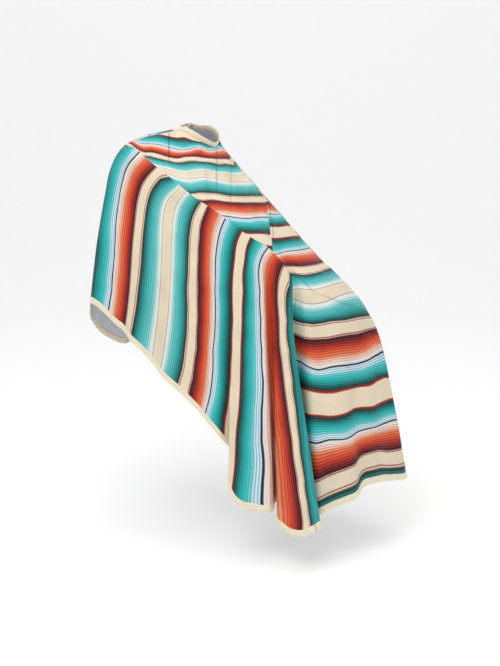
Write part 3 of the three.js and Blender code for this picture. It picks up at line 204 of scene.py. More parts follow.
 [(0.0311,0.0504,0.0460),(0.0311,0.0582,0.0344),(0.0408,0.0817,0.0285),(0.0505,0.1051,0.0218),(0.0603,0.1286,0.0143),(0.0700,0.1520,0.0060),(0.0663,0.1717,-0.0686),(0.0648,0.1798,-0.1432),(0.0636,0.1861,-0.2178),(0.0626,0.1913,-0.2923),(0.0617,0.1960,-0.3669),(0.0609,0.2002,-0.4415),(0.0602,0.2040,-0.5161),(0.0600,0.2050,-0.5360)],
 [(0.0232,0.0504,0.0460),(0.0232,0.0582,0.0344),(0.0244,0.0784,0.0303),(0.0256,0.0986,0.0255),(0.0268,0.1188,0.0200),(0.0280,0.1390,0.0140),(0.0269,0.1585,-0.0425),(0.0264,0.1666,-0.0989),(0.0261,0.1729,-0.1554),(0.0258,0.1781,-0.2118),(0.0255,0.1827,-0.2683),(0.0253,0.1869,-0.3247),(0.0251,0.1907,-0.3812),(0.0250,0.1920,-0.4010)],
 [(0.0101,0.0504,0.0460),(0.0101,0.0582,0.0344),(0.0106,0.0774,0.0305),(0.0110,0.0966,0.0259),(0.0115,0.1158,0.0208),(0.0120,0.1350,0.0150),(0.0120,0.1552,-0.0352),(0.0120,0.1636,-0.0853),(0.0120,0.1700,-0.1355),(0.0120,0.1755,-0.1857),(0.0120,0.1802,-0.2359),(0.0120,0.1845,-0.2860),(0.0120,0.1885,-0.3362),(0.0120,0.1900,-0.3560)]]
FIELD_FRONT = [(175,133,0),(168,132.5,0),(184,134,0),(155.6,134,0.05),(166,136,0.05),(175,137.5,0.05),(184,137,0.05),(196,141.5,0.05),(206,145,0.05),(134,141.8,0.3),(151,144.7,0.3),(166,147.5,0.3),(184,150.8,0.3),(200,147.5,0.3),(219,148,0.3),(131.5,143,0.45),(148.7,148.7,0.45),(166,152.7,0.45),(184,154,0.45),(200,152,0.45),(223,154.4,0.45),(128,143,0.53),(143,152,0.53),(166,156,0.53),(184,156,0.53),(200,156.7,0.53),(223,157.3,0.53),(230,158.5,0.53),(131.5,147.5,0.62),(154.4,155.6,0.62),(175,160.8,0.62),(193.5,159,0.62),(212,160.8,0.62),(235,163,0.62),(137,154,0.7),(154.4,159,0.7),(175,163.3,0.7),(192,162,0.7),(217.6,165.4,0.7),(238,164.8,0.7),(146,161,0.85),(166,166,0.85),(184,170,0.85),(205,168,0.85),(223,170.5,0.85),(245,170.5,0.85),(160,170.5,1),(184,176,1),(200,174,1),(223,177.4,1),(252,178.5,1),(172,180,1.15),(190,184.5,1.15),(210,183,1.15),(230,187,1.15),(257,187,1.15),(191,193.5,1.3),(208,192.3,1.3),(223,194,1.3),(246,195.2,1.3),(266,195.2,1.3),(193.5,195.8,1.38),(209.5,197,1.38),(223,199,1.38),(246,199.8,1.38),(268,199.2,1.374),(202,202.5,1.46),(209.6,201,1.46),(223,202.7,1.46),(240.6,203.8,1.46),(269.5,202.7,1.437),(213,207,1.55),(223,207.3,1.55),(246,209,1.55),(274,208.4,1.498),(220,215.3,1.7),(235,217.4,1.7),(246,218.5,1.7),(266,217,1.7),(279,213.8,1.621),(233,225.5,1.85),(246,226,1.85),(262,226,1.85),(283,219,1.76),(248.6,234.8,1.95),(262,234.8,1.95),(289,226.8,1.86),(255.5,238.3,2),(262,239,2),(292,229,1.91),(264.7,244,2.05),(295.7,235.4,1.96),(279.6,253.8,2.212),(300,249.7,2.21),(283,257.8,2.367),(295,258.8,2.368),(305,257.5,2.366),(285,264,2.454),(295,263.5,2.453),(305,263,2.453),(289,269,2.55),(295,270,2.551),(305,270,2.551),(318,267.5,2.548),(305,275.5,2.637),(318,273,2.634),(305,281,2.763),(318,279.5,2.762),(330,276,2.758),(290,288,2.952),(295,291,2.955),(305,295,2.96),(318,294.5,2.959),(330,291,2.955),(341,287,2.95),(295,309,3.156),(305,313,3.16),(318,313,3.16),(330,311,3.158),(345,305,3.151),(290,315,3.283),(295,317,3.285),(305,321,3.29),(318,321.5,3.29),(330,319,3.287),(345,318,3.286),(360,314.5,3.282),(290,322,3.371),(295,325.5,3.375),(305,330.5,3.38),(318,331,3.38),(330,329,3.379),(345,325,3.374),(360,322.5,3.371),(295,335,3.46),(305,340,3.46),(318,341,3.46),(330,340,3.46),(345,337.5,3.46),(360,335,3.46),(375,329.5,3.459),(295,345,3.55),(305,350,3.55),(318,352,3.55),(330,350,3.55),(345,347.5,3.55),(360,345.5,3.55),(375,337,3.55),(305,364,3.7),(318,369,3.7),(330,366,3.7),(345,364,3.7),(360,361.5,3.7),(375,354.5,3.7),(383,350,3.7),(300,375,3.85),(318,381,3.85),(330,381,3.85),(345,379,3.85),(360,377,3.85),(375,371,3.85),(385,369,3.85),(305,389,3.95),(318,393.5,3.95),(330,394,3.95),(345,390.5,3.95),(360,387,3.95),(375,383.5,3.95),(385,377.5,3.95),(305,401,4),(318,404.5,4),(330,405.5,4),(345,402,4),(360,397.5,4),(375,394.5,4),(385,389.5,4),(395,385,4),(305,414,4.07),(318,415.5,4.07),(330,416.5,4.07),(345,413.5,4.07),(360,407.5,4.07),(375,405.5,4.07),(385,401,4.07),(306,423,4.15),(318,425,4.15),(330,425,4.15),(345,422,4.15),(360,415.5,4.15),(375,414,4.15),(385,409.5,4.15),(396,406,4.15),(308,441,4.3),(318,443,4.3),(330,439.5,4.3),(345,438.5,4.3),(360,431,4.3),(375,426,4.3),(385,422.5,4.3),(395,418.5,4.3),(308,447,4.36),(318,448,4.36),(330,446,4.36),(345,442.5,4.36),(360,436.5,4.36),(375,430,4.36),(385,428.5,4.36),(395,425.5,4.36),(309,459,4.45),(318,461,4.45),(330,458,4.45),(345,452,4.45),(360,446,4.45),(375,438,4.45),(385,437,4.45),(395,434.5,4.45),(311,473,4.53),(318,476,4.53),(330,472,4.53),(345,463,4.53),(360,460,4.53),(375,447,4.53),(385,447,4.53),(395,446.5,4.53),(313,482,4.57),(318,483.5,4.57),(330,478.5,4.57),(345,470,4.57),(360,465,4.57),(375,453,4.57),(385,452.5,4.57),(395,451.5,4.57),(318,493.5,4.62),(330,488.5,4.62),(345,478.5,4.62),(360,474,4.62),(375,461,4.62),(385,460,4.62),(395,459.5,4.62),(403,457,4.62),(318,505.5,4.7),(330,502.5,4.7),(345,490.5,4.7),(360,487.5,4.7),(375,474.5,4.7),(385,471.5,4.7),(395,470.5,4.7),(404,471,4.7)]
FIELD_SIDE = [(88.5,303,0.09),(92,276,0.09),(96,235,0.09),(103,186,0.09),(109,160,0.09),(118,148,0.09),(131,160,0.3),(122,180,0.3),(117.5,200,0.3),(114.5,220,0.3),(113.5,240,0.3),(112.5,260,0.3),(110,290,0.3),(105.5,320,0.3),(137,154,0.3),(133,180,0.45),(127.5,200,0.45),(125.5,220,0.45),(123,240,0.45),(122,260,0.45),(119,290,0.45),(116,320,0.45),(146,163,0.45),(140.5,180,0.53),(134,200,0.53),(131.5,220,0.53),(129,240,0.53),(127.5,260,0.53),(126,290,0.53),(121.5,320,0.53),(152,167,0.53),(158,171,0.62),(150,180,0.62),(141.5,200,0.62),(138.5,220,0.62),(136.5,240,0.62),(135,260,0.62),(132.5,290,0.62),(128.5,320,0.62),(125,338,0.62),(169.4,178.5,0.7),(160,180,0.7),(148,200,0.7),(144.5,220,0.7),(142.5,240,0.7),(141.5,260,0.7),(138.5,290,0.7),(135,320,0.7),(131,345,0.7),(182,189,1),(172.5,200,1),(167,220,1),(166,240,1),(165.5,260,1),(164.5,290,1),(162,320,1),(158,350,1),(155,367,1),(199,201.5,1.3),(190,220,1.3),(187,240,1.3),(186.5,260,1.3),(185,290,1.3),(185.5,320,1.3),(183,350,1.3),(177.5,380,1.3),(175,388,1.3),(204,204,1.38),(196,220,1.38),(193,240,1.38),(192,260,1.38),(191.5,290,1.38),(191.5,320,1.38),(189.5,350,1.38),(185,380,1.38),(182,396,1.38),(208,206,1.46),(203,220,1.46),(200.5,240,1.46),(199.5,260,1.46),(199,290,1.46),(199,320,1.46),(198,350,1.46),(194,380,1.46),(190,406,1.46),(214,212,1.55),(210,220,1.55),(206,240,1.55),(205,260,1.55),(206,290,1.55),(205,320,1.55),(204,350,1.55),(200.5,380,1.55),(196,410,1.55),(224,218.7,1.7),(217,240,1.7),(214.5,260,1.7),(214,290,1.7),(214.5,320,1.7),(212,350,1.7),(211.5,380,1.7),(205.5,410,1.7),(203,419,1.7),(235,226,1.85),(229,240,1.85),(226,260,1.85),(224,290,1.85),(225,320,1.85),(224,350,1.85),(223,380,1.85),(218.5,410,1.85),(216,431,1.85),(246,234,2),(239.5,260,2),(237.5,290,2),(237.5,320,2),(236.5,350,2),(235.5,380,2),(233.5,410,2),(230.5,440,2),(228,480,2),(252,239,2.1),(246.5,260,2.1),(245.5,290,2.1),(244,320,2.1),(243,350,2.1),(243,380,2.1),(242,410,2.1),(239,440,2.1),(236.5,480,2.1),(234,505,2.1),(259,241,2.18),(250,260,2.18),(249.5,290,2.18),(249.5,320,2.18),(250,350,2.18),(249.5,380,2.18),(249,410,2.18),(247.5,440,2.18),(246,480,2.18),(244,505,2.18),(269,246,2.3),(260.5,260,2.3),(260,290,2.3),(261,320,2.3),(262,350,2.3),(263.5,380,2.3),(262,410,2.3),(262,440,2.3),(263.5,480,2.3),(263,505,2.3),(279,254,2.45),(272,260,2.45),(268.5,290,2.45),(270.5,320,2.45),(271.5,350,2.45),(275.5,380,2.45),(279,405,2.45),(283.3,440,2.45),(287.5,480,2.45),(290,505,2.45),(291,525,2.45),(283,259,2.53),(279,265,2.53),(275,290,2.53),(276.5,320,2.53),(277.5,350,2.53),(281.5,380,2.53),(284.7,405,2.53),(290,440,2.53),(295,480,2.53),(298.3,505,2.53),(300.3,525,2.53),(288,268,2.62),(281,290,2.62),(282.5,320,2.62),(284.5,350,2.62),(288.3,380,2.62),(291.7,405,2.62),(296.5,440,2.62),(302.4,480,2.62),(305.9,505,2.62),(308,520,2.62),(286,290,2.685),(287,320,2.685),(289.5,350,2.685),(293,380,2.685),(295.8,405,2.685),(300.5,440,2.685),(306.7,480,2.685),(310,505,2.685),(312.3,520,2.685),(291,320,2.8),(294,350,2.8),(299,385,2.8),(305,440,2.8),(311,482,2.8),(316,515,2.8)]


NET = np.array(DRAPE, float)
NS, NR = NET.shape[:2]
RIDGE, TAPE, HEM = 5, 12, 13


def hermite(P, counts, H):
    """Cubic through the points of P along axis 0, with counts[k] steps in cell k and chord lengths H."""
    K = P.shape[0]
    H = np.maximum(H, 1e-6)
    D = (P[1:] - P[:-1]) / H
    T = np.empty_like(P)
    T[0], T[-1] = D[0], D[-1]
    T[1:-1] = (D[1:] * H[:-1] + D[:-1] * H[1:]) / (H[1:] + H[:-1])
    rows = []
    for k in range(K - 1):
        for m in range(counts[k]):
            t = m / counts[k]
            a, b = 2 * t**3 - 3 * t**2 + 1, t**3 - 2 * t**2 + t
            c, d = -2 * t**3 + 3 * t**2, t**3 - t**2
            rows.append(a * P[k] + b * H[k] * T[k] + c * P[k + 1] + d * H[k] * T[k + 1])
    rows.append(P[-1])
    return np.array(rows)


def lengths(P):
    return np.linalg.norm(np.diff(P, axis=0), axis=-1, keepdims=True)


def refine(values, points, ni, nj):
    """values on a block of the net, refined along both directions; points is the same block's geometry."""
    v = values if values.ndim == 3 else values[..., None]
    Hi = lengths(points)
    A = hermite(v, ni, np.broadcast_to(Hi, Hi.shape[:2] + (v.shape[2],)))
    Pa = hermite(points, ni, np.broadcast_to(Hi, Hi.shape[:2] + (3,)))
    At, Pt = A.transpose(1, 0, 2), Pa.transpose(1, 0, 2)
    Hj = lengths(Pt)
    B = hermite(At, nj, np.broadcast_to(Hj, Hj.shape[:2] + (v.shape[2],)))
    B = B.transpose(1, 0, 2)
    return B if values.ndim == 3 else B[..., 0]


# Steps per cell: strands by how far apart their hems are, rows by where they lie.
hem_gap = np.linalg.norm(np.diff(NET[:, HEM], axis=0), axis=1)
NI = [int(min(7, max(2, round(g / 0.011)))) for g in hem_gap]
NJ_TOP, NJ_FALL, NJ_TAPE = 7, 9, 2
NJ = [NJ_TOP] * 4 + [NJ_FALL] * 7 + [NJ_TAPE]
I0 = np.concatenate([[0], np.cumsum(NI)])  # fine index of each strand
J0 = np.concatenate([[0], np.cumsum(NJ)])  # fine index of rows 1..13
P = refine(NET[:, 1:], NET[:, 1:], NI, NJ)
FI, FJ = P.shape[:2]


def fine_strand(i):
    return int(I0[i])


def fine_row(j):
    return int(J0[j - 1])


# A flat picture plane in front of the cape, 500 by 666 units: places the chest's creases and the tuck.
R_VIEW = np.array([0.5, -0.8660254, 0.0])
D_VIEW = np.array([math.sin(math.radians(-60)) * math.cos(math.radians(12)), -math.cos(math.radians(-60)) * math.cos(math.radians(12)), math.sin(math.radians(12))])
U_VIEW = np.cross(D_VIEW, R_VIEW)
EYE_AT, EYE_OFF, UNIT = np.array([0.0, -0.3, -0.516]), 3.6, 0.0031


def plane(p):
    q = np.asarray(p, float) - EYE_AT
    z = EYE_OFF - q @ D_VIEW
    o = np.array([0.0, 0.0, -0.016]) - EYE_AT
    zo = EYE_OFF - o @ D_VIEW
    x = 200 + (q @ R_VIEW * EYE_OFF / z - o @ R_VIEW * EYE_OFF / zo) / UNIT
    y = 145 - (q @ U_VIEW * EYE_OFF / z - o @ U_VIEW * EYE_OFF / zo) / UNIT
    return x, y


def normals_of(Q):
    du = np.gradient(Q, axis=0)
    dv = np.gradient(Q, axis=1)
    n = -np.cross(du, dv)
    n /= np.linalg.norm(n, axis=-1, keepdims=True) + 1e-12
    return n


N0 = normals_of(P)
if N0[FI // 2, fine_row(3), 2] < 0:
    N0 = -N0
across = P @ R_VIEW
jj = np.arange(FJ)[None, :]
ii = np.arange(FI)[:, None]
top_mask = np.clip((fine_row(RIDGE) + 3 - jj) / 8.0, 0, 1) * np.clip((jj - 1) / 6.0, 0, 1)
vis = (ii > fine_strand(5)) & (ii < fine_strand(33))
bump = np.zeros((FI, FJ))
for c, w, d in ((-0.100, 0.007, -0.0022), (0.046, 0.008, -0.0028), (0.100, 0.009, -0.0024), (-0.03, 0.02, 0.0022),
                (0.075, 0.012, 0.0018), (0.16, 0.018, 0.002)):
    bump += d * np.exp(-(((across - c) / w) ** 2)) * top_mask * vis
# gentle unevenness everywhere, fixed numbers
def wave(seed, sx, sy, sz):
    a = math.sin(seed * 12.9898) * 43758.5453
    a -= math.floor(a)
    b = math.sin(seed * 78.233) * 12543.123
    b -= math.floor(b)
    return np.sin(P[..., 0] * sx + a * 6.283) * np.sin(P[..., 1] * sy + b * 6.283) * np.sin(P[..., 2] * sz + (a + b) * 3.1)
rough = 0.0012 * wave(1, 31, 27, 9) + 0.0009 * wave(2, 57, 49, 14) + 0.0006 * wave(3, 90, 83, 31)
free = np.clip((jj - 1) / 6.0, 0, 1)
P = P + N0 * (bump + rough * free)[..., None]


# ---------------------------------------------------------------- cloth simulation
def grid_faces(ni, nj):
    return [
        (i * nj + j, i * nj + j + 1, (i + 1) * nj + j + 1, (i + 1) * nj + j)
        for i in range(ni - 1)
        for j in range(nj - 1)
    ]


def settle(points, frames):
    """Lets the sheet hang and buckle a little round its draped shape, and returns the points."""
    me = bpy.data.meshes.new("settle")
    me.from_pydata(points.reshape(-1, 3).tolist(), [], grid_faces(FI, FJ))
    ob = bpy.data.objects.new("settle", me)
    bpy.context.scene.collection.objects.link(ob)
    vg = ob.vertex_groups.new(name="hold")
    rj, hj = fine_row(RIDGE), FJ - 1
    for i in range(FI):
        for j in range(FJ):
            if j <= 1:
                w = 1.0
            elif j <= rj:
                w = 0.55
            else:
                w = 0.5 - 0.38 * min(1.0, (j - rj) / 18.0)
            if i <= 1 or i >= FI - 2:
                w = max(w, 0.5)
            vg.add([i * FJ + j], w, "REPLACE")
    cm = ob.modifiers.new("cloth", "CLOTH")
    s = cm.settings
    s.quality = 6
    s.mass = 0.15
    s.air_damping = 2.0
    s.tension_stiffness = s.compression_stiffness = 18
    s.shear_stiffness = 6
    s.bending_stiffness = 0.08
    s.tension_damping = s.compression_damping = s.shear_damping = 6
    s.bending_damping = 0.5
    s.shrink_min = -0.012
    s.vertex_group_mass = "hold"
    s.pin_stiffness = 0.35
    cm.collision_settings.use_collision = False
    cm.collision_settings.use_self_collision = False
    cm.point_cache.frame_start, cm.point_cache.frame_end = 1, frames
    sc = bpy.context.scene
    keep = sc.frame_start, sc.frame_end
    sc.frame_start, sc.frame_end = 1, frames
    for f in range(1, frames + 1):
        sc.frame_set(f)
    ev = ob.evaluated_get(bpy.context.evaluated_depsgraph_get())
    m = ev.to_mesh()
    co = np.empty(len(m.vertices) * 3)
    m.vertices.foreach_get("co", co)
    ev.to_mesh_clear()
    sc.frame_set(1)
    sc.frame_start, sc.frame_end = keep
    bpy.data.objects.remove(ob, do_unlink=True)
    bpy.data.meshes.remove(me)
    return co.reshape(points.shape)


Q = settle(P, 22)
move = Q - P
slow = move.copy()
for _ in range(40):
    slow[1:-1] = 0.5 * slow[1:-1] + 0.25 * (slow[2:] + slow[:-2])
    slow[:, 1:-1] = 0.5 * slow[:, 1:-1] + 0.25 * (slow[:, 2:] + slow[:, :-2])
move = 0.55 * (move - slow) + 0.1 * slow
far = np.linalg.norm(move, axis=-1, keepdims=True)
cap = 0.016
Q = P + move * np.minimum(1.0, cap / np.maximum(far, 1e-9))
Q[:, :2] = P[:, :2]
N = normals_of(Q)
if (N * N0).sum() < 0:
    N = -N


# ---------------------------------------------------------------- helpers
def mesh_object(name, verts, faces):
    me = bpy.data.meshes.new(name)
    me.from_pydata([tuple(map(float, v)) for v in verts], [], faces)
    me.validate()
    ob = bpy.data.objects.new(name, me)
    bpy.context.scene.collection.objects.link(ob)
    for p in me.polygons:
        p.use_smooth = True
    return ob


def node_tools(mat):
    nt = mat.node_tree
    nt.nodes.clear()
    out = nt.nodes.new("ShaderNodeOutputMaterial")
    bsdf = nt.nodes.new("ShaderNodeBsdfPrincipled")
    nt.links.new(bsdf.outputs[0], out.inputs[0])

    def link(a, b):
        nt.links.new(a, b)

    def math_(op, a, b=None, c=None, clamp=False):
        n = nt.nodes.new("ShaderNodeMath")
        n.operation = op
        n.use_clamp = clamp
        for k, v in enumerate((a, b, c)):
            if v is None:
                continue
            if isinstance(v, (int, float)):
                n.inputs[k].default_value = v
            else:
                link(v, n.inputs[k])
        return n.outputs[0]

    def ramp(fac, stops, mode="LINEAR"):
        n = nt.nodes.new("ShaderNodeValToRGB")
        n.color_ramp.interpolation = mode
        e = n.color_ramp.elements
        while len(e) > 1:
            e.remove(e[-1])
        e[0].position = stops[0][0]
        e[0].color = srgb(stops[0][1])
        for p, c in stops[1:]:
            x = e.new(p)
            x.color = srgb(c)
        link(fac, n.inputs[0])
        return n.outputs[0]

    def mix(fac, a, b, mode="MIX"):
        n = nt.nodes.new("ShaderNodeMix")
        n.data_type = "RGBA"
        n.blend_type = mode
        for sock, v in ((n.inputs[0], fac), (n.inputs[6], a), (n.inputs[7], b)):
            if isinstance(v, (int, float)):
                sock.default_value = v
            elif isinstance(v, tuple):
                sock.default_value = v
            else:
                link(v, sock)
        return n.outputs[2]

    def bump(height, strength, distance, normal=None):
        n = nt.nodes.new("ShaderNodeBump")
        n.inputs["Strength"].default_value = strength
        n.inputs["Distance"].default_value = distance
        link(height, n.inputs["Height"])
        if normal is not None:
            link(normal, n.inputs["Normal"])
        return n.outputs[0]

    def noise(vector, scale, detail=2.0, rough=0.5):
        n = nt.nodes.new("ShaderNodeTexNoise")
        n.inputs["Scale"].default_value = scale
        n.inputs["Detail"].default_value = detail
        n.inputs["Roughness"].default_value = rough
        if vector is not None:
            link(vector, n.inputs["Vector"])
        return n.outputs[0]

    return nt, bsdf, link, math_, ramp, mix, bump, noise


def srgb(c):
    return tuple(((v / 255) / 12.92 if v / 255 <= 0.04045 else ((v / 255 + 0.055) / 1.055) ** 2.4) for v in c) + (1.0,)


CREAM = (238, 222, 194)
# (place in the half repeat, thread line colour, ground between the lines)
STRIPES_A = [  # from the broad cream band's centre outwards, to the middle of the maroon
    (0.000, CREAM, CREAM), (0.055, CREAM, CREAM), (0.059, (204, 60, 46), (204, 60, 46)), (0.069, (150, 38, 34), (150, 38, 34)),
    (0.076, (20, 38, 36), (34, 62, 58)), (0.105, (18, 74, 72), (34, 108, 105)), (0.150, (26, 150, 147), (42, 170, 166)),
    (0.195, (48, 184, 181), (68, 200, 197)), (0.222, (82, 182, 184), (128, 210, 212)), (0.240, (128, 194, 208), (216, 236, 240)),
    (0.284, (148, 198, 222), (238, 244, 246)), (0.290, (30, 44, 60), (30, 44, 60)), (0.304, (30, 44, 60), (30, 44, 60)),
    (0.309, (236, 234, 230), (246, 243, 238)), (0.335, (224, 188, 176), (246, 236, 228)), (0.372, (224, 156, 126), (244, 210, 188)),
    (0.400, (216, 96, 58), (240, 140, 98)), (0.445, (204, 68, 38), (234, 100, 62)), (0.480, (170, 42, 30), (208, 66, 44)),
    (0.510, (110, 27, 28), (158, 46, 40)), (0.540, (60, 18, 24), (100, 34, 36)), (0.560, (50, 16, 22), (76, 26, 30)),
]
STRIPES_B = [
    (0.560, (50, 16, 22), (76, 26, 30)), (0.562, (236, 216, 198), (236, 216, 198)), (0.567, (168, 78, 68), (168, 78, 68)),
    (0.573, (168, 78, 68), (168, 78, 68)), (0.578, CREAM, CREAM), (0.661, CREAM, CREAM), (0.665, (170, 92, 80), (170, 92, 80)),
    (0.671, (170, 92, 80), (170, 92, 80)), (0.676, CREAM, CREAM),
    (0.682, (206, 192, 168), (206, 192, 168)), (0.688, (30, 48, 42), (38, 62, 56)), (0.712, (24, 66, 62), (46, 98, 92)),
    (0.750, (34, 138, 136), (50, 156, 153)), (0.800, (62, 174, 172), (84, 192, 190)), (0.850, (82, 182, 180), (128, 208, 204)),
    (0.880, (128, 202, 200), (192, 230, 226)), (0.900, (226, 238, 232), (226, 238, 232)), (0.925, (236, 238, 228), (236, 238, 228)),
    (0.932, (150, 134, 130), (150, 134, 130)), (0.940, CREAM, CREAM), (1.000, (232, 218, 190), (232, 218, 190)),
]


def print_material(name, lining=False):
    mat = bpy.data.materials.new(name)
    mat.use_nodes = True
    nt, bsdf, link, math_, ramp, mix, bump, noise = node_tools(mat)
    uv = nt.nodes.new("ShaderNodeUVMap")
    uv.uv_map = "print"
    sep = nt.nodes.new("ShaderNodeSeparateXYZ")
    link(uv.outputs[0], sep.inputs[0])
    s, v = sep.outputs[0], sep.outputs[1]
    uvp = nt.nodes.new("ShaderNodeUVMap")
    uvp.uv_map = "place"
    sp = nt.nodes.new("ShaderNodeSeparateXYZ")
    link(uvp.outputs[0], sp.inputs[0])
    vx, vy = math_("MULTIPLY", sp.outputs[0], 500.0), math_("MULTIPLY", sp.outputs[1], 500.0)
    # the tuck at the front of the lap steps the print along one line
    past = math_("MULTIPLY", math_("SUBTRACT", vx, math_("ADD", 267.0, math_("MULTIPLY", math_("SUBTRACT", vy, 216.0), 0.147))), 2.5, None, True)
    run = math_("MINIMUM", math_("DIVIDE", math_("SUBTRACT", vy, 198.0), 18.0, None, True), math_("DIVIDE", math_("SUBTRACT", 330.0, vy), 78.0, None, True))
    s = math_("ADD", s, math_("MULTIPLY", math_("MULTIPLY", past, run), 0.09))

    # painted shade: each crease line is a narrow mask that darkens the print colour where shade falls in the fold; the
    # same mask also cuts a groove in the bump
    def crease(x, slant, y0, y1, width, depth, end=14.0):
        d = math_("SUBTRACT", vx, math_("ADD", x, math_("MULTIPLY", math_("SUBTRACT", vy, y0), slant)))
        g = math_("POWER", 2.718, math_("MULTIPLY", math_("POWER", math_("DIVIDE", math_("ABSOLUTE", d), width), 2.0), -1.0))
        m = math_("MULTIPLY", math_("DIVIDE", math_("SUBTRACT", vy, y0), 4.0, None, True), math_("DIVIDE", math_("SUBTRACT", y1, vy), end, None, True))
        return math_("MULTIPLY", math_("MULTIPLY", g, m), depth)

    # painted shade lines: chest creases, the tuck, the lap's crease and the neckline gathers
    crease_shade_and_groove = crease(167.5, 0.0, 131.0, 168.0, 0.9, 1.0)
    for args in ((215.6, 0.0, 148.0, 196.0, 1.0, 0.75), (230.0, 0.0, 158.0, 214.0, 1.1, 0.4), (205.0, 0.02, 160.0, 206.0, 1.5, 0.25), (267.6, 0.147, 200.0, 250.0, 0.7, 0.7),
                 (289.0, 1.0, 267.0, 296.0, 1.3, 0.55, 6.0), (314.0, 2.55, 291.0, 312.0, 3.0, 0.5, 4.0),
                 (174.5, -0.55, 127.5, 139.0, 0.55, 0.45, 4.0), (177.5, -0.7, 128.0, 139.5, 0.55, 0.4, 4.0), (171.5, -0.4, 128.5, 137.5, 0.5, 0.35, 4.0)):
        crease_shade_and_groove = math_("ADD", crease_shade_and_groove, crease(*args))
    obj = nt.nodes.new("ShaderNodeTexCoord").outputs["Object"]
    # thread grid, about 0.45 mm: fine ribs along and across
    def threads(a, b):
        comb = nt.nodes.new("ShaderNodeCombineXYZ")
        link(math_("MULTIPLY", s, a), comb.inputs[0])
        link(math_("MULTIPLY", v, b), comb.inputs[1])
        return noise(comb.outputs[0], 1.0, 1.0)

    weave = math_("ADD", threads(260.0, 1600.0), threads(900.0, 320.0))
    slub = noise(obj, 900.0, 1.0)
    if lining:
        base = mix(noise(obj, 9.0, 3.0), srgb((206, 207, 212)), srgb((220, 221, 225)))
        t = math_("PINGPONG", math_("ABSOLUTE", s), 1.0)
        ghost = ramp(t, [(0.0, (255, 255, 255)), (0.08, (225, 225, 230)), (0.3, (250, 250, 252)), (0.54, (222, 220, 226)), (0.6, (255, 255, 255)), (0.7, (226, 228, 230)), (1.0, (255, 255, 255))])
        col = mix(0.35, base, ghost, "MULTIPLY")
    else:
        t = math_("PINGPONG", math_("ABSOLUTE", s), 1.0)
        # each colour step is a run of thread lines: dark ground, lighter line
        f = math_("FRACT", math_("MULTIPLY", t, 44.0))
        pulse = ramp(f, [(0.0, (0, 0, 0)), (0.14, (0, 0, 0)), (0.36, (255, 255, 255)), (0.64, (255, 255, 255)), (0.86, (0, 0, 0)), (1.0, (0, 0, 0))])
        a = mix(pulse, ramp(t, [(p, c) for p, c, _ in STRIPES_A]), ramp(t, [(p, c) for p, _, c in STRIPES_A]))
        b = mix(pulse, ramp(t, [(p, c) for p, c, _ in STRIPES_B]), ramp(t, [(p, c) for p, _, c in STRIPES_B]))
        col = mix(math_("GREATER_THAN", t, 0.5605), a, b)
        # cloth's own unevenness and the threads' grain
        tone = ramp(noise(obj, 14.0, 4.0), [(0.25, (240, 240, 242)), (0.75, (255, 255, 255))])
        col = mix(1.0, col, tone, "MULTIPLY")
        grain = ramp(slub, [(0.3, (232, 232, 234)), (0.7, (255, 255, 255))])
        col = mix(0.6, col, grain, "MULTIPLY")
        # painted shade: along the crease lines the print colour is multiplied towards dark grey-blue
        col = mix(math_("MULTIPLY", crease_shade_and_groove, 0.66, None, True), col, mix(1.0, col, (0.30, 0.30, 0.32, 1.0), "MULTIPLY"))
    link(col, bsdf.inputs["Base Color"])
    rough = ramp(noise(obj, 60.0, 2.0), [(0.3, (188, 188, 188)), (0.7, (212, 212, 212))])
    link(rough, bsdf.inputs["Roughness"])
    bsdf.inputs["Sheen Weight"].default_value = 0.05
    bsdf.inputs["Sheen Roughness"].default_value = 0.4
    bsdf.inputs["Specular IOR Level"].default_value = 0.2
    n1 = bump(weave, 0.3, 0.0003)
    n2 = bump(noise(obj, 120.0, 2.0), 0.18, 0.0006, n1)
    n3 = bump(noise(obj, 22.0, 2.0), 0.16, 0.004, n2)
    n3 = bump(math_("MULTIPLY", crease_shade_and_groove, -1.0), 0.5, 0.0025, n3)
    link(n3, bsdf.inputs["Normal"])
    return mat


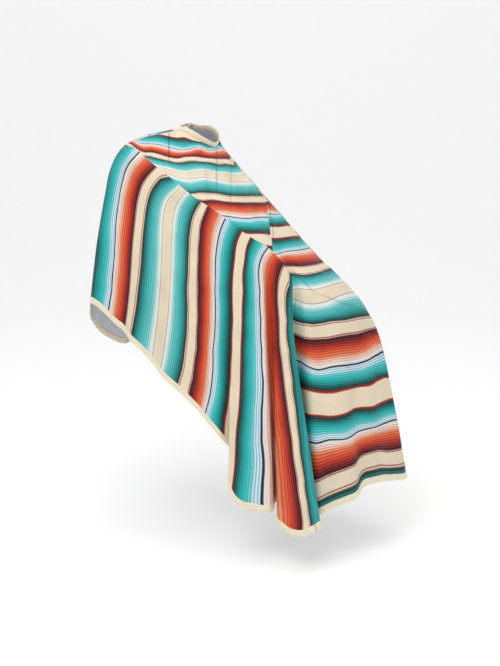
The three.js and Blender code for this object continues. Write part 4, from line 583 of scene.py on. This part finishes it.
def tape_material(name):
    mat = bpy.data.materials.new(name)
    mat.use_nodes = True
    nt, bsdf, link, math_, ramp, mix, bump, noise = node_tools(mat)
    uv = nt.nodes.new("ShaderNodeUVMap")
    uv.uv_map = "tape"
    sep = nt.nodes.new("ShaderNodeSeparateXYZ")
    link(uv.outputs[0], sep.inputs[0])
    u, v = sep.outputs[0], sep.outputs[1]  # metres along the tape, metres from its edge fold (either side)
    obj = nt.nodes.new("ShaderNodeTexCoord").outputs["Object"]
    rib = math_("SINE", math_("MULTIPLY", u, 2 * math.pi / 0.0011))
    twill = math_("SINE", math_("MULTIPLY", math_("ADD", u, v), 2 * math.pi / 0.0016))
    base = mix(noise(obj, 30.0, 3.0), srgb((232, 219, 190)), srgb((243, 232, 206)))
    ribc = ramp(math_("ADD", math_("MULTIPLY", rib, 0.5), 0.5), [(0.0, (236, 236, 234)), (1.0, (255, 255, 255))])
    col = mix(0.7, base, ribc, "MULTIPLY")
    # lockstitch: 2.6 mm stitches with small gaps, 2 mm in from the tape's open edge
    STITCH_V = 0.0175
    line = math_("LESS_THAN", math_("ABSOLUTE", math_("SUBTRACT", math_("ABSOLUTE", v), STITCH_V)), 0.00042)
    phase = math_("FRACT", math_("DIVIDE", u, 0.0030))
    dash = math_("LESS_THAN", phase, 0.80)
    stitch = math_("MULTIPLY", line, dash)
    # painted shade: the needle hole at the end of each stitch is darkened to brown-grey
    needle_hole_shade = math_("MULTIPLY", line, math_("GREATER_THAN", phase, 0.86))
    col = mix(stitch, col, srgb((247, 240, 220)))
    col = mix(needle_hole_shade, col, srgb((150, 134, 108)))
    link(col, bsdf.inputs["Base Color"])
    link(ramp(noise(obj, 80.0, 2.0), [(0.3, (196, 196, 196)), (0.7, (216, 216, 216))]), bsdf.inputs["Roughness"])
    bsdf.inputs["Sheen Weight"].default_value = 0.2
    bsdf.inputs["Specular IOR Level"].default_value = 0.3
    valley = math_("SUBTRACT", 1.0, math_("MULTIPLY", math_("ABSOLUTE", math_("SUBTRACT", math_("ABSOLUTE", v), STITCH_V)), 900.0), None, True)
    h = math_("ADD", math_("MULTIPLY", twill, 0.10), math_("ADD", math_("MULTIPLY", rib, 0.12), math_("SUBTRACT", math_("MULTIPLY", stitch, 0.9), math_("MULTIPLY", valley, 0.6))))
    link(bump(h, 0.5, 0.0004, bump(noise(obj, 40.0, 2.0), 0.2, 0.0015)), bsdf.inputs["Normal"])
    return mat


def metal_material(name):
    mat = bpy.data.materials.new(name)
    mat.use_nodes = True
    nt, bsdf, link, math_, ramp, mix, bump, noise = node_tools(mat)
    obj = nt.nodes.new("ShaderNodeTexCoord").outputs["Object"]
    n = noise(obj, 700.0, 3.0)
    link(mix(n, srgb((196, 192, 184)), srgb((214, 211, 204))), bsdf.inputs["Base Color"])
    bsdf.inputs["Metallic"].default_value = 1.0
    link(ramp(noise(obj, 350.0, 3.0), [(0.3, (66, 66, 66)), (0.75, (104, 104, 104))]), bsdf.inputs["Roughness"])
    link(bump(n, 0.12, 0.0002), bsdf.inputs["Normal"])
    return mat


PRINT = print_material("serape_print")
LINING = print_material("lining", lining=True)
TAPE_MAT = tape_material("binding_tape")
METAL = metal_material("nickel")

# ---------------------------------------------------------------- the printed sheet
verts = Q.reshape(-1, 3)
faces, region = [], []
RJ = fine_row(RIDGE)


def block(table, i0, i1, j0, j1):
    """A print table refined over its strands and rows, indexed by fine strand and row."""
    pts = NET[i0:i1 + 1, j0:j1 + 1]
    fine = refine(np.array(table, float), pts, NI[i0:i1], NJ[j0 - 1:j1 - 1])
    full = np.full((FI, FJ), np.nan)
    a, b = fine_strand(i0), fine_row(j0)
    full[a:a + fine.shape[0], b:b + fine.shape[1]] = fine
    return full


S_TOP = block(TOP_S, 0, NS - 1, 1, 5)
S_RIGHT = block(RIGHT_S, 3, 21, 5, 13)
S_FRONT = block(FRONT_S, 21, 30, 5, 13)
S_LEFT = block(LEFT_S, 30, 40, 5, 13)
S_BR = block(BACK_R_S, 0, 3, 5, 13)
S_BL = block(BACK_L_S, 40, NS - 1, 5, 13)
row_len = np.concatenate([np.zeros((FI, 1)), np.cumsum(np.linalg.norm(np.diff(Q, axis=1), axis=-1), axis=1)], axis=1)
span = np.concatenate([np.zeros((1, FJ)), np.cumsum(np.linalg.norm(np.diff(Q, axis=0), axis=-1), axis=0)], axis=0)

def thin_plate(points, smoothing):
    """A smooth field through the given (x, y, value) points."""
    p = np.array(points, float)
    xy, val = p[:, :2] / 100.0, p[:, 2]
    n = len(p)

    def phi(r):
        return np.where(r > 0, r * r * np.log(np.maximum(r, 1e-12)), 0.0)

    K = phi(np.linalg.norm(xy[:, None] - xy[None], axis=-1)) + smoothing * np.eye(n)
    L = np.hstack([np.ones((n, 1)), xy])
    W = np.linalg.solve(np.block([[K, L], [L.T, np.zeros((3, 3))]]), np.concatenate([val, np.zeros(3)]))

    def field(x, y):
        q = np.stack([x.ravel(), y.ravel()], -1) / 100.0
        out = phi(np.linalg.norm(q[:, None] - xy[None], axis=-1)) @ W[:n] + W[n] + q @ W[n + 1:]
        return out.reshape(x.shape)

    return field


loop_uv, loop_place = [], []
VX, VY = plane(P)
front_field, side_field = thin_plate(FIELD_FRONT, 5e-4), thin_plate(FIELD_SIDE, 9e-4)
FA, FB = front_field(VX, VY), side_field(VX, VY)
ramp_up = lambda a, b: np.clip((np.arange(FI) - fine_strand(a)) / max(1, fine_strand(b) - fine_strand(a)), 0, 1)[:, None]
w_top = ramp_up(4, 5) * (1 - ramp_up(31, 34))
S_TOP = S_TOP * (1 - w_top) + FA * w_top
w_side = ramp_up(5, 6) * (1 - ramp_up(20, 21))
S_RIGHT = np.where(np.isnan(S_RIGHT), np.nan, np.nan_to_num(S_RIGHT) * (1 - w_side) + FB * w_side)
w_front = ramp_up(22, 23) * (1 - ramp_up(29, 30)) * np.clip((fine_row(TAPE) - 10 - np.arange(FJ)) / 8.0, 0, 1)[None]
S_FRONT = np.where(np.isnan(S_FRONT), np.nan, np.nan_to_num(S_FRONT) * (1 - w_front) + FA * w_front)
# the fold behind the front corner carries the side's print round to the valley
v21, v22 = fine_strand(21), fine_strand(22)
for i in range(v21 + 1, v22 + 1):
    S_RIGHT[i, RJ:] = S_RIGHT[v21, RJ:] + 0.11 * (i - v21) / (v22 - v21)
edge = S_RIGHT[fine_strand(19):v22 + 1]
S_RIGHT[fine_strand(19):v22 + 1] = np.where(edge > 2.74, 2.74 + (edge - 2.74) * 0.35, edge)
for i in range(FI - 1):
    for j in range(FJ - 1):
        faces.append((i * FJ + j, i * FJ + j + 1, (i + 1) * FJ + j + 1, (i + 1) * FJ + j))
        if j < RJ:
            S, V = S_TOP, Q[..., 0]
        elif i < fine_strand(3):
            S, V = S_BR, Q[..., 0]
        elif i < fine_strand(22):
            S, V = S_RIGHT, row_len
        elif i < fine_strand(30):
            S, V = S_FRONT, Q[..., 0]
        elif i < fine_strand(40):
            S, V = S_LEFT, row_len
        else:
            S, V = S_BL, Q[..., 0]
        for a, b in ((i, j), (i, j + 1), (i + 1, j + 1), (i + 1, j)):
            loop_uv.append((float(S[a, b]), float(V[a, b])))
            near = (j < RJ and fine_strand(4) <= i < fine_strand(32)) or (j >= RJ and fine_strand(22) <= i < fine_strand(30))
            loop_place.append((VX[a, b] / 500, VY[a, b] / 500) if near else (0.0, 0.0))
cloth = mesh_object("printed_cloth", verts, faces)
uvl = cloth.data.uv_layers.new(name="print")
uvl.data.foreach_set("uv", np.array(loop_uv).ravel())
uvq = cloth.data.uv_layers.new(name="place")
uvq.data.foreach_set("uv", np.array(loop_place, float).ravel())
cloth.data.materials.append(PRINT)
cloth.data.materials.append(LINING)
# faces point outwards
cloth.data.update()
flat_n = np.empty(len(cloth.data.polygons) * 3)
cloth.data.polygons.foreach_get("normal", flat_n)
if (flat_n.reshape(FI - 1, FJ - 1, 3) * N[:-1, :-1]).sum() < 0:
    bm = bmesh.new(); bm.from_mesh(cloth.data); bmesh.ops.reverse_faces(bm, faces=bm.faces); bm.to_mesh(cloth.data); bm.free()
sol = cloth.modifiers.new("thickness", "SOLIDIFY")
sol.thickness = 0.0008
sol.offset = -1.0
sol.material_offset = 1
sol.material_offset_rim = 1
sol.use_even_offset = False

# ---------------------------------------------------------------- binding tape
def tape(name, path, inward, normal, width, lift=0.0007, cloth_t=0.0008, tip=0.0012, puff=0.0006, stitch=True):
    """A folded tape over an edge: path is the edge's points, inward the unit direction into the sheet in its surface,
    normal the outward normal. The section runs over the outer face, round the edge and back under the inner face."""
    n = len(path)
    sec = []  # (distance inward, height)
    o, u = lift, -(cloth_t + lift)
    sec = [(width, o * 0.55), (width * 0.93, o + 0.0002), (width * 0.72, o + puff * 0.7), (width * 0.4, o + puff), (width * 0.12, o + puff * 0.7), (-tip * 0.4, o * 0.8),
           (-tip, (o + u) / 2), (-tip * 0.4, u * 0.9), (width * 0.12, u - puff * 0.5), (width * 0.5, u - puff * 0.7), (width * 0.9, u - 0.0001), (width, u * 0.9)]
    along = np.concatenate([[0], np.cumsum(np.linalg.norm(np.diff(path, axis=0), axis=1))])
    v, uv = [], []
    m = len(sec)
    for k in range(n):
        w = 1.0 + 0.02 * math.sin(along[k] * 140.0) + 0.015 * math.sin(along[k] * 57.0 + 1.3)
        for d, h in sec:
            v.append(path[k] + inward[k] * d * (w if d > 0 else 1) + normal[k] * h)
    f, luv = [], []
    for k in range(n - 1):
        for q in range(m):
            r = (q + 1) % m
            f.append((k * m + q, (k + 1) * m + q, (k + 1) * m + r, k * m + r))
            dq, dr = sec[q][0], sec[r][0]
            luv += [(along[k], dq), (along[k + 1], dq), (along[k + 1], dr), (along[k], dr)]
    f.append(tuple(range(m - 1, -1, -1)))
    luv += [(along[0] - sec[q][1], sec[q][0]) for q in range(m - 1, -1, -1)]
    f.append(tuple((n - 1) * m + q for q in range(m)))
    luv += [(along[-1] + sec[q][1], sec[q][0]) for q in range(m)]
    ob = mesh_object(name, v, f)
    u = ob.data.uv_layers.new(name="tape")
    u.data.foreach_set("uv", np.array(luv, float).ravel())
    bm = bmesh.new(); bm.from_mesh(ob.data); bmesh.ops.recalc_face_normals(bm, faces=bm.faces); bm.to_mesh(ob.data); bm.free()
    ob.data.materials.append(TAPE_MAT)
    return ob


def unit(a):
    return a / (np.linalg.norm(a, axis=-1, keepdims=True) + 1e-12)


def hem_piece(name, s0, s1, gap0=0, gap1=0):
    a, b = fine_strand(s0), fine_strand(s1)
    idx = np.arange(a, b + 1)
    path = Q[idx, FJ - 1].copy()
    inner = Q[idx, FJ - 1 - NJ_TAPE]
    inward = unit(inner - path)
    nrm = N[idx, FJ - 2]
    path[0] += unit(path[1] - path[0]) * 0.0004
    path[-1] += unit(path[-2] - path[-1]) * 0.0004
    width = np.linalg.norm(inner - path, axis=-1).mean()
    ob = tape(name, path, inward, nrm, float(min(width, 0.0205)))
    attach(ob, "cape"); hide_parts(name)
    return ob


hem_piece("rear_right_hem_binding", 0, 3)
hem_piece("right_hem_binding", 3, 21)
hem_piece("front_hem_binding", 21, 30)
hem_piece("left_hem_binding", 30, 40)
hem_piece("rear_left_hem_binding", 40, NS - 1)


def slit_piece(name, left):
    idx = np.arange(1, FJ - NJ_TAPE)
    i = FI - 1 if left else 0
    k = FI - 1 - NI[-1] if left else NI[0]
    path = Q[i, idx].copy()
    inward = unit(Q[k, idx] - path)
    ob = tape(name, path, inward, N[i, idx], 0.0165)
    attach(ob, "cape"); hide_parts(name)


slit_piece("right_slit_binding", False)
slit_piece("left_slit_binding", True)

# ---------------------------------------------------------------- neckband
BAND = refine(NET[:, 0:2], NET[:, 0:2], NI, [1])
top, foot = BAND[:, 0], BAND[:, 1]
mid_ring = (top + foot) / 2
rad = unit(np.cross(np.gradient(mid_ring, axis=0), top - foot))
centre = mid_ring.mean(axis=0)
rad *= np.sign(((mid_ring - centre) * rad).sum(axis=1))[:, None]
bt = 0.0026
sec = [(1.0, 0.25), (1.03, 0.0), (1.0, -0.3), (0.85, -0.5), (0.5, -0.55), (0.12, -0.5), (-0.03, -0.25), (-0.05, 0.1), (0.06, 0.45), (0.30, 0.62), (0.62, 0.62), (0.9, 0.5)]
v, f, luv = [], [], []
m = len(sec)
ring_len = np.concatenate([[0], np.cumsum(np.linalg.norm(np.diff(top, axis=0), axis=1))])
for k in range(FI):
    up = top[k] - foot[k]
    for a, b in sec:
        v.append(foot[k] + up * a + rad[k] * (b * bt - 0.0006))
for k in range(FI - 1):
    for q in range(m):
        r = (q + 1) % m
        f.append((k * m + q, (k + 1) * m + q, (k + 1) * m + r, k * m + r))
        vq = 0.0155 + 0.0045 * (sec[q][0]); vr = 0.0155 + 0.0045 * (sec[r][0])
        luv += [(ring_len[k], vq), (ring_len[k + 1], vq), (ring_len[k + 1], vr), (ring_len[k], vr)]
f.append(tuple(range(m - 1, -1, -1))); luv += [(0.0, 0.0)] * m
f.append(tuple((FI - 1) * m + q for q in range(m))); luv += [(0.0, 0.0)] * m
band = mesh_object("neckband", v, f)
u = band.data.uv_layers.new(name="tape")
u.data.foreach_set("uv", np.array(luv, float).ravel())
bm = bmesh.new(); bm.from_mesh(band.data); bmesh.ops.recalc_face_normals(bm, faces=bm.faces); bm.to_mesh(band.data); bm.free()
band.data.materials.append(TAPE_MAT)
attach(band, "cape"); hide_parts("neckband")

# ---------------------------------------------------------------- closure tab
T34 = math.radians(34)
OUT = Vector((0, math.cos(T34), math.sin(T34)))
UPN = Vector((0, -math.sin(T34), math.cos(T34)))
XL = Vector((1, 0, 0))
NAPE_R, SNAP_LIFT = 0.06752, 0.003
FLANGE_Z = NAPE_R + 0.0006 + 0.0003
TAB_Z = FLANGE_Z + 0.0009 + 0.0003 + 0.0022 + 0.0003
TAB_T = 0.0014


def tab(name, x0, x1, z0, z1, width, round_end, body):
    """A stitched tab: a rounded strip with soft edges, between two heights above the nape."""
    bm = bmesh.new()
    hw = width / 2
    outline = []
    if round_end:
        for a in np.linspace(-math.pi / 2, math.pi / 2, 13):
            outline.append((x1 - hw * 0.7 + hw * 0.7 * math.cos(a), hw * math.sin(a)))
    else:
        outline += [(x1, -hw), (x1, hw)]
    outline += [(x0, hw), (x0, -hw)]
    rings = [(0.0, 0.90), (0.25, 0.985), (0.5, 1.0), (0.75, 0.985), (1.0, 0.90)]
    cx = (x0 + x1) / 2
    loops = []
    for t, k in rings:
        z = z0 + (z1 - z0) * t
        loops.append([bm.verts.new(XL * (cx + (x - cx) * (1 - (1 - k) * 0.3)) + UPN * (SNAP_LIFT + y * k) + OUT * z) for x, y in outline])
    n = len(outline)
    for a, b in zip(loops, loops[1:]):
        for q in range(n):
            bm.faces.new((a[q], a[(q + 1) % n], b[(q + 1) % n], b[q]))
    bm.faces.new(loops[-1]); bm.faces.new(list(reversed(loops[0])))
    bmesh.ops.recalc_face_normals(bm, faces=bm.faces)
    me = bpy.data.meshes.new(name); bm.to_mesh(me); bm.free()
    ob = bpy.data.objects.new(name, me); bpy.context.scene.collection.objects.link(ob)
    uvl = me.uv_layers.new(name="tape")
    for p in me.polygons:
        for li in p.loop_indices:
            co = me.vertices[me.loops[li].vertex_index].co
            y = abs(co.dot(UPN) - SNAP_LIFT)
            uvl.data[li].uv = (co.x, 0.0175 - (hw - 0.0016) + y)
    me.materials.append(TAPE_MAT)
    b = ob.modifiers.new("soft", "BEVEL"); b.width = 0.0003; b.segments = 2; b.limit_method = "ANGLE"
    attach(ob, body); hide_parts(name)
    return ob


tab("closure_tab", -0.0132, 0.033, TAB_Z, TAB_Z + TAB_T, 0.013, True, "closure_tab")
tab("closure_tab_root", -0.030, -0.0148, FLANGE_Z, TAB_Z + TAB_T, 0.013, False, "cape")

for n in (1, 2):
    for w in ("stud", "post", "socket", "cap"):
        o = bpy.data.objects[f"snap_{n}_{w}"] if f"snap_{n}_{w}" in bpy.data.objects else None
        if o is not None:
            for k in range(max(1, len(o.data.materials))):
                if len(o.material_slots) == 0:
                    o.data.materials.append(METAL)
                else:
                    o.material_slots[k].material = METAL

CLOTH_NODES = ["back_right_yoke", "right_shoulder_yoke", "chest_right", "lap", "chest_left", "left_shoulder_yoke",
               "back_right_fall", "right_rear_fall", "right_side_fall", "right_pleat_fall", "right_corner_fall",
               "front_fall", "left_front_fall", "left_side_fall", "back_left_fall"]
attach(cloth, "cape"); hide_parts(*CLOTH_NODES)

# ---------------------------------------------------------------- stage, light, camera
def stage_material():
    mat = bpy.data.materials.new("studio_floor")
    mat.use_nodes = True
    b = mat.node_tree.nodes["Principled BSDF"]
    b.inputs["Base Color"].default_value = (0.90, 0.90, 0.90, 1)
    b.inputs["Roughness"].default_value = 0.95
    b.inputs["Specular IOR Level"].default_value = 0.05
    b.inputs["Emission Color"].default_value = (1, 1, 1, 1)
    b.inputs["Emission Strength"].default_value = 0.17
    return mat


A_, E_ = math.radians(-60), math.radians(12)
D = Vector((math.sin(A_) * math.cos(E_), -math.cos(A_) * math.cos(E_), math.sin(E_)))
RV = Vector((math.cos(A_), math.sin(A_), 0))
UV_ = D.cross(RV)
FWD = Vector((-math.sin(A_), math.cos(A_), 0))
FLOOR = float(CAD_LO.z) - 0.115
prof = [(-8.0, 0.0)]
for k in range(0, 13):
    a = math.pi / 2 * k / 12
    prof.append((3.2 + 2.2 * math.sin(a), 2.2 * (1 - math.cos(a))))
prof.append((5.4, 9.0))
sv, sf = [], []
for side in (-14.0, 14.0):
    for d, h in prof:
        sv.append(tuple(FWD * d + RV * side + Vector((0, 0, FLOOR + h))))
m = len(prof)
for q in range(m - 1):
    sf.append((q, q + 1, m + q + 1, m + q))
floor = mesh_object("studio_floor", sv, sf)
floor.data.materials.append(stage_material())

world = bpy.data.worlds.new("studio")
bpy.context.scene.world = world
world.use_nodes = True
world.node_tree.nodes["Background"].inputs[0].default_value = (1, 1, 1, 1)
world.node_tree.nodes["Background"].inputs[1].default_value = 0.66


def area(name, loc, target, size, energy):
    d = bpy.data.lights.new(name, "AREA")
    d.shape = "RECTANGLE"
    d.size, d.size_y = size
    d.energy = energy
    o = bpy.data.objects.new(name, d)
    bpy.context.scene.collection.objects.link(o)
    o.location = loc
    o.rotation_mode = "QUATERNION"
    o.rotation_quaternion = (Vector(target) - Vector(loc)).to_track_quat("-Z", "Y")
    return o


C = Vector((0, -0.25, -0.5))
area("key", C + D * 2.2 - RV * 1.0 + Vector((0, 0, 2.5)), C, (2.2, 2.2), 46)
area("top", C + Vector((0, 0, 3.2)), C, (2.2, 2.2), 24)
area("fill", C + D * 2.6 + RV * 2.4 + Vector((0, 0, 0.7)), C, (2.5, 2.5), 8)

LOOK = Vector((0, -0.3, -0.5 - 0.016))
DIST = 3.6
pos = LOOK + D * DIST
aim = LOOK - RV * (33 * 0.0031) - UV_ * (22 * 0.0031)
cam_d = bpy.data.cameras.new("camera")
cam = bpy.data.objects.new("camera", cam_d)
bpy.context.scene.collection.objects.link(cam)
cam.location = pos
cam.rotation_mode = "QUATERNION"
cam.rotation_quaternion = (aim - pos).to_track_quat("-Z", "Y")
cam_d.sensor_width = 36.0
# 666 px tall frame: the long side is the height
half = 666 * 0.0031 / 2 / DIST
cam_d.sensor_fit = "AUTO"
cam_d.lens = 36.0 / 2 / half
bpy.context.scene.camera = cam
vs = bpy.context.scene.view_settings
vs.view_transform = "Standard"
vs.look = "None"
vs.exposure = 0.0
vs.gamma = 1.0

bpy.context.view_layer.update()
